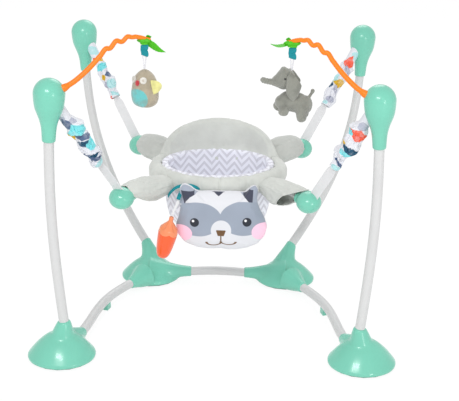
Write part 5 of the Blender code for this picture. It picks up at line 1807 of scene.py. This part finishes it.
        spread = [0.0]
        for side in range(sides):
            spread.append(spread[-1] + max(0.65, abs(cos(2 * pi * (side + 0.5) / sides))))
        shape = Maker.loft(
            sides, len(line), spot, lambda side, row: (girth * spread[side] / spread[-1], -drops[row]),
            False, girth)
        loops = []
        for side in (-1, 1):
            start, end = vec(side * 0.034, 0.036, 0.272), vec(side * 0.102, -0.112, 0.222)
            axis = (end - start).normalized()
            gone = []
            for face in shape.faces:
                away = face.calc_center_median() - start
                if away.dot(axis) > 0 and (away - axis * away.dot(axis)).length < self.leg_radius:
                    gone.append(face)
            rim = {vert for face in gone for vert in face.verts}
            bmesh.ops.delete(shape, geom=gone, context="FACES")
            rim = [vert for vert in rim if vert.is_valid and vert.is_boundary]
            loop = []
            for vert in rim:
                away = vert.co - start
                flat = away - axis * away.dot(axis)
                vert.co = start + axis * away.dot(axis) + flat.normalized() * self.leg_radius
                loop.append(vert.co.copy())
            place = Maker.aim(start, axis).inverted()
            loop.sort(key=lambda point: atan2((place @ point).y, (place @ point).x))
            loops.append(Maker.curve(loop[::3] + [loop[0]], 4))
        thing = Maker.skinned(shape, "pocket", 0.003)
        Maker.piece(
            "pocket_cloth", thing, finish, "seat", ["seat_pocket"], "chevron_cloth", levels=1, sharp=60)
        edging = Maker.merged([Maker.sweep(loop, 0.0032, 14) for loop in loops])
        binding = Maker.piece("leg_bindings", edging, trim, "seat", slot="pale_cloth", levels=1)

    def build(self) -> None:
        """Make the whole seat."""
        padding = PaddedCloth().build()
        self.soft("seat_cover", "ring_padding", padding, self.pucker, "pale_cloth", 0.6)

        def back_seam(spot: Vector, _: Vector) -> float:
            """Sew the panel's edge, and draw it in above the ring."""
            reach = hypot(spot.x, (spot.y - SHIFT_Y) / ASPECT) - self.radius - 0.1 * (spot.z - self.height)
            seam = 0.0016 * exp(-(((reach - 0.004) / 0.0016) ** 2)) * (1 if spot.z > 0.475 else 0)
            foot = max(0.0, 1 - abs(spot.z - 0.462) / 0.016)
            soft = 0.0022 * max(0.0, noise(spot * 17 + vec(2, 5, 1)))
            return -seam - soft - 0.0012 * foot * (1 + sin(spot.x * 170 + 4 * noise(spot * 20)))

        self.soft(
            "back_panel", "back_padding", padding, back_seam, "pale_cloth", 0.5, reach=0.003,
            start=self.panel())
        # Painted shade: the rear arm covers get the padded cloth darkened to 0.86, for the shade at the back
        # of the seat.
        rear = PaddedCloth("padded_cloth_rear_painted_shade", tuple(part * 0.86 for part in PaddedCloth().colour)).build()
        for corner in Corner:
            if corner.rear:
                self.arm_cover(corner, rear)
            else:
                self.arm_drape(corner, padding)
        self.pocket(
            ZigzagCloth("zigzag_cloth").build(),
            PaddedCloth("binding_cloth", (0.66, 0.67, 0.66), 0.001).build())

        def face_seam(spot: Vector, _: Vector) -> float:
            """Sew the front to the back round the pad's edge."""
            return -0.003 * exp(-(((spot.y + 0.15) / 0.0024) ** 2)) - 0.0012 * max(0.0, noise(spot * 26))

        face = self.soft("face_pad", "face_cushion", FacePrint().build(), face_seam, "face_cloth", 0.8)
        for vert in face.data.vertices:
            aside = max(0.0, min(1.0, (-0.045 - vert.co.x) / 0.045))
            low = max(0.0, min(1.0, (vert.co.z - 0.345) / 0.03))
            ear = max(0.0, min(1.0, (vert.co.z - 0.372) / 0.018))
            vert.co.x -= aside * (0.01 * low + 0.01 * ear)
            vert.co.y += aside * 0.005 * ear
            vert.co.z -= 0.0035 * max(0.0, min(1.0, (0.3 - vert.co.z) / 0.03))
        LOG.info("seat: opening %.0f mm wide, %.0f mm off the floor", self.inner * 2000, self.height * 1000)


@dataclass
class Carrot:
    """The carrot that hangs from a ribbon beside the face."""

    length: float = 0.134
    radius: float = 0.0285
    neck: float = 0.02
    shoulder: float = 0.046
    tilt: float = 13.0

    def build(self, teal: Material, webbing: Material) -> None:
        """Make the ribbon, the strap and the carrot.

        Args:
            teal: The ribbon's material.
            webbing: The strap's material.
        """
        lean = radians(self.tilt)
        top, axis = vec(-0.127, -0.186, 0.354), vec(-sin(lean), 0, -cos(lean))
        place = Maker.aim(top, axis)
        turn = self.radius
        low = Maker.curve(
            [
                (x * turn, z, 0) for x,
                z in (
                    (0.97, self.shoulder + 0.0003), (1.0, 0.054), (0.985, 0.066), (0.93, 0.08),
                    (0.86, 0.096), (0.76, 0.112), (0.62, 0.124), (0.4, 0.1315), (0.16, 0.1338))],
            6)
        body = [(0, self.shoulder + 0.0003), *[(point.x, point.y) for point in low], (0, self.length)]
        glossy = MouldedPlastic("carrot_gloss", (0.92, 0.105, 0.012), 0.12, 0.5).build()
        thing = Maker.moved(Maker.spin(body, 96), place)
        Maker.piece("carrot_shell", thing, glossy, "carrot", ["carrot_body"], "red_orange_gloss", sharp=50)
        ring = [
            (turn * 0.2, 0.0), (turn * 0.235, 0.0015), (turn * 0.235, 0.012), (turn * 0.26, 0.0145),
            (turn * 0.42, 0.02), (turn * 0.7, 0.029), (turn * 0.94, 0.0365), (turn * 0.985, 0.04),
            (turn * 0.985, 0.0452), (turn * 0.96, self.shoulder)]
        girth = [vec(point.y, point.x, 0) for point in low]

        def shoulder(height: float) -> float:
            """Find the carrot's radius at a height."""
            return Maker.read(girth, height).y

        lap = [self.shoulder + 0.0008 * step for step in range(1, 11)]
        ring = [*ring[:-1], *[(shoulder(height) + 0.0009, height) for height in lap]]
        cap = Maker.spin(
            [(0, 0), *ring, (shoulder(lap[-1]) - 0.002, lap[-1] + 0.0004), (0, self.shoulder + 0.002)], 100)
        for vert in cap.verts:
            if vert.co.z > self.shoulder and vert.co.xy.length > 0.001:
                lobe = 0.12 + 0.88 * abs(sin(2.5 * atan2(vert.co.y, vert.co.x) + 0.5)) ** 0.7
                over = vert.co.xy.length - shoulder(vert.co.z)
                vert.co.z = self.shoulder + (vert.co.z - self.shoulder) * lobe
                vert.co.xy = vert.co.xy.normalized() * (shoulder(vert.co.z) + over)

        def facet(vert: Vector, _: Vector) -> float:
            """Press shallow flats into the shoulders."""
            share = max(
                0.0, min(1.0, (vert.z - 0.014) / 0.012)) * max(0.0, min(1.0, (0.043 - vert.z) / 0.006))
            return -0.0011 * share * (1 + cos(8 * atan2(vert.y, vert.x)))

        bmesh.ops.subdivide_edges(
            cap, edges=[edge for edge in cap.edges if abs(edge.verts[0].co.z - edge.verts[1].co.z) > 0.004],
            cuts=3)
        Maker.pressed(cap, facet)
        pale = MouldedPlastic("carrot_collar", (0.92, 0.28, 0.12), 0.2, 0.3).build()
        Maker.piece(
            "carrot_collar", Maker.moved(cap, place), pale, "carrot", ["carrot_cap"], "pale_orange", sharp=35
        )
        hook = vec(-0.109, -0.1675, 0.4)
        span = top - axis * 0.0006 - hook
        path = [
            hook + span * (step / 8) + vec(0.0012 * sin(step * 0.9), -0.001 * sin(step * 0.7), 0)
            for step in range(9)]
        strip = Maker.sweep(
            path, [0.004 * (1 - 0.45 * (step / 8) ** 3) for step in range(9)], 24, 0.2, boxy=0.4)
        strip = Maker.piece(
            "carrot_ribbon", strip, webbing, "carrot_hanger", ["carrot_strap"], "white_webbing", levels=1)
        outer = 0.216
        start = vec(-0.101, -ASPECT * sqrt(outer**2 - 0.101**2) + SHIFT_Y + 0.006, 0.419)
        knots = [
            start, start.lerp(hook, 0.35) + vec(0.002, -0.004, 0.004), hook + vec(0.002, 0.001, 0.01),
            hook + vec(0, 0, 0.0012)]
        path = Maker.curve(knots, 6)
        loop = Maker.sweep(path, 0.006, 24, 0.15, boxy=0.4)
        loop = Maker.piece(
            "carrot_loop_ribbon", loop, teal, "seat", ["carrot_loop"], "teal_ribbon", levels=1)
        knots = [
            (-0.138, -0.08, 0.402), (-0.1437, -0.112, 0.3909), (-0.135, -0.126, 0.4075),
            (-0.1177, -0.138, 0.4278), (-0.094, -0.141, 0.4363), (-0.0705, -0.14, 0.4353),
            (-0.0531, -0.134, 0.4247), (-0.0423, -0.112, 0.4044)]
        over = Maker.sweep(Maker.curve(knots, 8), 0.005, 24, 0.18, across=vec(0, 0, 1), boxy=0.4)
        over = Maker.piece("ear_ribbon", over, teal, "seat", slot="teal_ribbon", levels=1)
        LOG.info("carrot: %.0f mm long", self.length * 1000)


@dataclass
class ToyBar:
    """A wavy bar with its leaf clip, ribbon and clear strap."""

    side: int
    tip_x: float
    strap_length: float
    toy: str
    rise: float = 0.113
    base_radius: float = 0.011
    radius: float = 0.0072
    tip_radius: float = 0.0058
    leaf_width: float = 0.0185

    @property
    def word(self) -> str:
        """Left or right."""
        return "left" if self.side < 0 else "right"

    def path(self) -> list[Vector]:
        """Work out the bar's middle line from its peg to its tip."""
        middle = vec(self.side * 0.432, -0.364, 0.765)
        entry = vec(-self.side * 0.92, 0.0, 0.39).normalized()
        mouth = middle + entry * 0.0445
        tip = vec(self.side * self.tip_x, -0.274, mouth.z + self.rise)
        waves = (
            (0.0, 0.0), (0.134, 0.15), (0.28, 0.38), (0.39, 0.59), (0.493, 0.81), (0.557, 0.87),
            (0.635, 0.99), (0.716, 1.01), (0.787, 1.085), (0.906, 1.06), (1.0, 1.0))
        knots = []
        for share, lift in waves:
            point = mouth.lerp(tip, share)
            point.z = mouth.z + self.rise * lift
            knots.append(point)
        path = Maker.curve(knots, 12)
        for point in path:
            share = (point - mouth).xy.length / (tip - mouth).xy.length
            ease = sin(pi * max(0.0, min(1.0, (share - 0.42) / 0.46))) ** 0.5
            point.z -= 0.0026 * ease * sin(2 * pi * (share - 0.526) / 0.1335)
        return [middle + entry * 0.03, *path]

    def leaf(
        self, root: Vector, reach: Vector, wide: Vector, width: float, arch: float, sag: float = 0.0
    ) -> Shape:
        """Mould a pointed leaf with a midrib, side veins and a toothed edge.

        Args:
            root: Where it starts.
            reach: From there to its tip.
            wide: What its width leans towards.
            width: Its width.
            arch: How far it bends up and down.
            sag: How far its middle hangs.

        Returns:
            The leaf.
        """
        length = reach.length
        ahead = reach.normalized()
        wide = (wide - ahead * wide.dot(ahead)).normalized()
        lift = wide.cross(ahead).normalized()
        rows, half = 60, 12

        def spot(side: int, row: int) -> Vector:
            """Put one point of the leaf's skin."""
            share = row / (rows - 1)
            reach = max(0.0006, width / 2 * sin(pi * (0.08 + 0.92 * share) ** 0.85))
            tooth = 1 + 0.1 * abs(sin(share * pi * 9)) * min(1, share * 5)
            angle = 2 * pi * side / (half * 2)
            across = cos(angle)
            flat = copysign(abs(sin(angle)) ** 0.5, sin(angle)) if abs(sin(angle)) > 1e-6 else 0.0
            vein = 0.0005 * exp(-((across / 0.16) ** 2)) + 0.0002 * sin((share * 9 - abs(across)) * 2 * pi)
            up = flat * (0.0009 + vein * (1 if flat > 0 else 0)) + 0.1 * reach * abs(across)
            bend = arch * sin(2 * pi * share) - sag * sin(pi * share)
            return root + ahead * (length * share) + wide * (reach * tooth * across) + lift * (up + bend)

        return Maker.loft(half * 2, rows, spot)

    def build(self, orange: Material, green: Material, teal: Material, clear: Material) -> Vector:
        """Make the bar and what hangs from its tip, down to the toy.

        Args:
            orange: The bar's material.
            green: The clip's material.
            teal: The ribbon's material.
            clear: The strap's material.

        Returns:
            The top of the toy.
        """
        path = self.path()
        last = len(path) - 1
        radii = []
        for index in range(len(path)):
            share = index / last
            flare = (self.base_radius - self.radius) * max(0.0, 1 - share / 0.05)
            radii.append(self.radius + flare - (self.radius - self.tip_radius) * share)
        ahead = (path[-1] - path[-2]).normalized()
        for step in range(1, 5):
            path.append(path[last] + ahead * (0.0018 * step))
            radii.append(self.tip_radius)
        end = len(path) - 1
        for step in range(1, 6):
            path.append(path[end] + ahead * (0.0042 * sin(radians(18 * step))))
            radii.append(self.tip_radius * max(0.08, cos(radians(18 * step))))
        bar = Maker.sweep(path, radii, 40)
        Maker.piece(
            f"wavy_bar_{self.word}", bar, orange, "frame", [f"toy_bar_{self.word}"], "orange_plastic")
        coarse = path[last - 12 : last + 1]
        top = coarse[6].lerp(coarse[12], 0.3)
        low = 0.004 - 0.02
        rim = [
            (0, 0.002), (0.009, 0.0012), (0.015, -0.0005), (0.019, -0.0036), (0.02, -0.0056),
            (0.0192, -0.007), (0.016, -0.0098), (0.0124, low + 0.0048), (0.0106, low + 0.0016),
            (0.0098, low), (0, low)]
        cup = Maker.spin([(point.x, point.y) for point in Maker.curve([(x, z, 0) for x, z in rim], 4)], 80)

        def petal(spot: Vector, _: Vector) -> float:
            """Flute the cup into petals."""
            share = max(0.0, 1 - abs(spot.z + 0.004) / 0.013)
            return -0.0016 * share * (1 + cos(5 * atan2(spot.y, spot.x) + 0.6))

        Maker.pressed(cup, petal)
        Maker.moved(
            cup, Matrix.Translation(top) @ Matrix.Diagonal((1.0 if self.side < 0 else 1.22, 0.55, 1, 1)))
        if self.side < 0:
            leaf = self.leaf(
                top + vec(-0.002, 0, -0.009), vec(0.0587, 0.003, -0.0274), vec(0.55, -0.35, 0.75),
                self.leaf_width * 1.12, 0.004)
        else:
            leaf = self.leaf(
                top + vec(-0.006, 0, -0.008), vec(-0.052, 0.003, -0.001), vec(0, 1, 0.25), self.leaf_width,
                0.001, 0.0055)
        bud = self.leaf(
            top + vec(-self.side * 0.003, 0.006, -0.002), vec(-self.side * 0.015, 0.007, 0.005),
            vec(0.3, -0.6, 0.9), 0.02, 0.001)
        Maker.piece(
            f"clip_leaves_{self.word}", Maker.merged([cup, leaf, bud]), green, "frame",
            [f"leaf_clip_{self.word}"], "leaf_green", sharp=55)
        hang = top + vec(0, 0, low - 0.0003)
        body = f"{self.toy}_hanger"
        node = f"{self.toy}_strap"
        crumple = [vec(0.0012 * sin(step * 0.8), -0.0016 * sin(step * 0.55 + 0.4), 0) for step in range(13)]
        ribbon_path = [
            hang - vec(0, 0, 0.031 * step / 12) + crumple[step] * min(1, step / 4) for step in range(13)]
        ribbon = Maker.sweep(
            ribbon_path, [0.01 + 0.0006 * sin(step * 0.7) for step in range(13)], 40, 0.09, boxy=0.4,
            across=vec(1, 0, 0))
        ribbon = Maker.piece(f"{self.toy}_ribbon", ribbon, teal, body, [node], "teal_ribbon", levels=1)
        f"leaf_clip_{self.word}"
        foot = hang - vec(0, 0, 0.031)
        pieces = []
        for way in (-1, 1):
            strand = [
                foot
                + vec(
                    way * (0.0046 - 0.0034 * step / 8), 0.0004 * way,
                    0.002 - (self.strap_length + 0.002) * step / 8)
                for step in range(9)]
            pieces.append(
                Maker.sweep(
                    strand, [0.0022 - 0.0006 * step / 8 for step in range(9)], 20, 0.3, boxy=0.5,
                    across=vec(1, 0, 0)))
        pieces.append(
            Maker.ball(foot - vec(0, 0, self.strap_length + 0.0005), (0.003, 0.0009, 0.0026), rings=12))
        strap = Maker.piece(
            f"{self.toy}_clear_strap", Maker.merged(pieces), clear, body, [node], "white_webbing", levels=1)
        LOG.info("toy bar %s: rises %.0f mm", self.word, self.rise * 1000)
        return foot - vec(0, 0, self.strap_length + 0.0032 + 0.0003)


@dataclass
class Bird:
    """The plush bird."""

    width: float = 0.075
    height: float = 0.105
    depth: float = 0.06
    turn: float = -22.0

    def skin(self, top: Vector, aside: float, down: float, out: float = 0.0) -> tuple[Vector, Vector]:
        """Find a point on the bird's front and the way it faces.

        Args:
            top: The bird's top.
            aside: Degrees to the right of the face's middle.
            down: Share of the height.
            out: How far it lies off the skin.

        Returns:
            The point and its outward direction.
        """
        outline = self.outline()
        reach = next(x for x, z in outline if z <= -self.height * down and x > 0)
        angle = radians(-90 + self.turn + aside)
        flat = vec(cos(angle), sin(angle) * self.depth / self.width, 0) * reach
        away = vec(cos(angle), sin(angle) * self.width / self.depth, (0.5 - down) * 0.8).normalized()
        return top + flat - vec(0, 0, self.height * down) + away * out, away

    def outline(self) -> list[tuple[float, float]]:
        """Draw the bird's half outline from its top to its foot."""
        knots = [
            (0.0, 0.0), (0.14, 0.008), (0.34, 0.045), (0.58, 0.12), (0.8, 0.24), (0.92, 0.42), (1.0, 0.6),
            (0.98, 0.76), (0.82, 0.9), (0.54, 0.972), (0.22, 0.996), (0.0, 1.0)]
        line = Maker.curve([(self.width / 2 * x, -self.height * z, 0) for x, z in knots], 8)
        return [(max(0.0, point.x), point.y) for point in line]

    def build(self, top: Vector) -> None:
        """Make the bird below its strap.

        Args:
            top: The bird's top.
        """
        squash = Matrix.Translation(top) @ Matrix.Diagonal((1, self.depth / self.width, 1, 1))
        body = Maker.moved(Maker.spin(self.outline(), 112), squash)
        middle = self.skin(top, 0, 0.5)[0]

        def seam(spot: Vector, _: Vector) -> float:
            """Sew the side seams and let the stuffing dimple."""
            line = exp(-(((spot.x - middle.x + 0.004 + 0.1 * (spot.z - middle.z)) / 0.0011) ** 2))
            return -0.0011 * line * (1 if spot.y < top.y else 0) - 0.0014 * max(0.0, noise(spot * 55))

        Maker.pressed(body, seam)
        brown = Plush(
            "plush_brown", (0.445, 0.382, 0.275), (0.104, 0.56, 0.565), (top.x - 0.0165, top.z - 0.077),
            (0.0262, 0.0285), 20.0).build()
        main = Maker.piece(
            "bird_plush", body, brown, "bird", ["bird_body"], "brown_plush", levels=1, sharp=180)
        root, tip = top + vec(0.0205, -0.0225, -0.044), top + vec(0.0475, -0.014, -0.042)

        def feather(side: int, row: int) -> Vector:
            """Put one point of the wing."""
            share = row / 20
            angle = 2 * pi * side / 28
            tall = 0.0175 * (1 - share**2.2) ** 0.6 + 0.0022
            thick = 0.0062 * (1 - 0.5 * share) * (0.35 + 0.65 * sin(pi * min(1.0, share * 0.75 + 0.25)))
            rise = tall * sin(angle)
            return root.lerp(tip, share) + vec(-0.2 * rise * (1 - share), thick * cos(angle), rise)

        wing = Maker.fused([Maker.loft(28, 21, feather)], 0.0016, 3)
        yellow = Plush("plush_yellow", (0.84, 0.8, 0.3)).build()
        wing = Maker.piece(
            "bird_plush_wing", wing, yellow, "bird", ["bird_wing"], "wing_yellow", levels=1, sharp=180)
        felt = Plush("felt_white", (0.76, 0.74, 0.68)).build()
        dark = MouldedPlastic("toy_eye", (0.58, 0.53, 0.46), 0.4, 0.1).build()
        red = Plush("felt_red", (0.6, 0.022, 0.036)).build()
        rings, pupils = [], []
        for aside, down in ((19.0, 0.245), (-45.0, 0.245)):
            spot, away = self.skin(top, aside, down, 0.0004)
            place = Maker.aim(spot, away, vec(0, 0, 1))
            felt_ring = [
                (0.0001, 0.0008), (0.004, 0.0011), (0.0066, 0.0024), (0.0086, 0.0019), (0.0094, 0.0002),
                (0.0092, -0.003), (0.0001, -0.003)]
            rings.append(Maker.moved(Maker.spin(felt_ring, 36), place))
            bead = [(0.0001, 0.0016), (0.0026, 0.0015), (0.0036, 0.0007), (0.0001, 0.0004)]
            pupils.append(Maker.moved(Maker.spin(bead, 28), place))
        Maker.piece("bird_eye_rings", Maker.merged(rings), felt, "bird", slot="wing_yellow")
        Maker.piece("bird_eyes", Maker.merged(pupils), dark, "bird", slot="brown_plush")
        spot, away = self.skin(top, -11.0, 0.318, 0.0)
        beak = Maker.ball((0, 0, 0), (0.0082, 0.0062, 0.005), rings=16)
        Maker.moved(beak, Maker.aim(spot, away, vec(0, 0, -1)))
        Maker.piece("bird_beak", beak, red, "bird", slot="red_orange_gloss")
        LOG.info("bird: %.0f mm tall", self.height * 1000)


@dataclass
class Elephant:
    """The plush elephant."""

    body_size: tuple[float, float, float] = (0.0475, 0.026, 0.0285)
    leg: float = 0.0152

    def build(self, top: Vector) -> None:
        """Make the elephant below its strap.

        Args:
            top: The elephant's top.
        """
        grey = Plush("plush_grey", (0.262, 0.266, 0.23)).build()
        top = top + vec(0.001, 0, 0.0065)
        middle, head = top + vec(0.011, 0, -0.0895), top + vec(-0.018, 0, -0.026)
        tilt = Matrix.Rotation(radians(17), 4, "Y")
        parts = [
            Maker.ball(middle, self.body_size, tilt, 32),
            Maker.ball(top + vec(-0.0245, 0, -0.09), (0.019, 0.021, 0.019)),
            Maker.ball(top + vec(0.0385, 0, -0.0965), (0.0205, 0.024, 0.025))]
        steps = (
            ((-0.018, -0.012, -0.097), (-0.0195, -0.014, -0.111)),
            ((-0.024, 0.012, -0.096), (-0.032, 0.014, -0.104)),
            ((0.028, -0.012, -0.102), (0.029, -0.014, -0.127)),
            ((0.034, 0.012, -0.102), (0.036, 0.014, -0.1225)))
        for hip, toe in ((top + Vector(start), top + Vector(stop)) for start, stop in steps):
            path = [
                hip, hip.lerp(toe, 0.5), toe, toe + (toe - hip).normalized() * 0.01,
                toe + (toe - hip).normalized() * 0.0145]
            parts.append(
                Maker.sweep(
                    path, [self.leg * 0.95, self.leg * 0.97, self.leg, self.leg * 0.82, self.leg * 0.35], 32)
            )
        tail = Maker.curve(
            [
                top + Vector(spot)
                for spot in (
                    (0.042, 0, -0.084), (0.047, 0, -0.077), (0.0535, 0, -0.0665), (0.0575, 0, -0.058))],
            5)
        parts.append(Maker.sweep(tail, [0.0046] * len(tail), 20))
        parts.append(Maker.ball(tail[-1], (0.0064, 0.006, 0.0068), rings=16))
        torso = Maker.fused(parts, 0.0016, 8)

        def seams(spot: Vector, _: Vector) -> float:
            """Sew the belly and dimple the stuffing."""
            line = exp(-(((spot.y - top.y) / 0.001) ** 2))
            return -0.001 * line - 0.0022 * max(0.0, noise(spot * 48 + vec(3, 3, 3)))

        Maker.pressed(torso, seams)
        body = Maker.piece(
            "elephant_plush", torso, grey, "elephant", ["elephant_body"], "grey_plush", sharp=180)
        skull = [
            Maker.ball(head, (0.027, 0.025, 0.03), Matrix.Rotation(radians(25), 4, "Y"), 28),
            Maker.ball(top + vec(-0.034, 0, -0.032), (0.02, 0.017, 0.018)),
            Maker.ball(top + vec(-0.0215, 0, -0.005), (0.011, 0.019, 0.012))]
        trunk = Maker.curve(
            [
                top + vec(x, 0, z) for x,
                z in (
                    (-0.034, -0.033), (-0.05, -0.035), (-0.062, -0.034), (-0.071, -0.032), (-0.0765, -0.0305)
                )],
            6)
        wide = [
            max(0.0088, 0.015 - 0.0085 * step / 12) + 0.0012 * max(0.0, step / 24 - 0.7)
            for step in range(len(trunk))]
        skull.append(Maker.sweep(trunk, wide, 28))
        skull.append(Maker.ball(trunk[-1], (0.0086, 0.0088, 0.0088), rings=16))
        crown = Maker.fused(skull, 0.0016, 8)

        def brow(spot: Vector, _: Vector) -> float:
            """Fold the trunk and sew the forehead."""
            along = spot.x - top.x
            fold = 0.0005 * (1 + sin(along * 900)) if along < -0.05 else 0.0
            return -fold - 0.0009 * exp(
                -(((spot.y - top.y) / 0.001) ** 2)) - 0.0014 * max(0.0, noise(spot * 60))

        Maker.pressed(crown, brow)
        crown = Maker.piece(
            "elephant_plush_head", crown, grey, "elephant", ["elephant_head"], "grey_plush", sharp=180)
        ears = []
        shape = Maker.curve(
            [
                (0, -0.0035, 0.002), (0.1, -0.002, 0.0095), (0.25, 0.001, 0.0155), (0.42, 0.005, 0.0208),
                (0.6, 0.0035, 0.0195), (0.78, 0.003, 0.015), (0.91, 0.0042, 0.0085), (1.0, 0.006, 0.001)],
            8)
        for depth in (-1, 1):

            def lobe(side: int, row: int, depth: int = depth) -> Vector:
                """Put one point of an ear."""
                rise = pi * (row + 0.5) / 35
                turn = 2 * pi * side / 44
                drop = 0.5 - 0.5 * cos(rise)
                _, middle, half = Maker.read(shape, drop)
                y = 0.005 * sin(rise) ** 0.6 * sin(turn) + depth * (0.0262 - 0.0035 * cos(2 * rise))
                return top + vec(middle + half * cos(turn), y, -0.002 - 0.08 * drop)

            ears.append(Maker.fused([Maker.loft(44, 35, lobe)], 0.0014, 3))
        ears = Maker.piece(
            "elephant_ears", Maker.merged(ears), grey, "elephant", slot="grey_plush", levels=1, sharp=180)
        dark = MouldedPlastic("toy_eye_dark", (0.02, 0.02, 0.022), 0.12, 0.5).build()
        eyes = [
            Maker.ball(top + vec(-0.0185, depth * 0.0243, -0.021), (0.003, 0.0022, 0.003), rings=14)
            for depth in (-1, 1)]
        Maker.piece("elephant_eyes", Maker.merged(eyes), dark, "elephant", slot="grey_plush")
        LOG.info("elephant: %.0f mm long", self.body_size[0] * 2000)


def main() -> None:
    """Dress the jumper."""
    logging.basicConfig(level=logging.INFO, format="%(message)s")
    Studio().build()
    base = BaseFrame()
    base.build()
    Suspension().build(base.mint)
    Maker.dress("seat_ring", base.paint)
    Seat().build()
    teal = Webbing("teal_ribbon", (0.0, 0.265, 0.315), roughness=0.8).build()
    clear = Webbing("clear_strap", (0.84, 0.84, 0.88), 0.0016, 0.75, 0.3).build()
    orange = MouldedPlastic("orange_plastic", (0.93, 0.215, 0.0), 0.42, 0.0).build()
    green = MouldedPlastic("leaf_plastic", (0.065, 0.5, 0.0), 0.5, 0.0).build()
    Carrot().build(teal, Webbing("carrot_webbing").build())
    Bird().build(ToyBar(-1, 0.183, 0.032, "bird").build(orange, green, teal, clear))
    Elephant().build(ToyBar(1, 0.197, 0.031, "elephant").build(orange, green, teal, clear))
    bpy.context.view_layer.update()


if __name__ == "__main__":
    main()
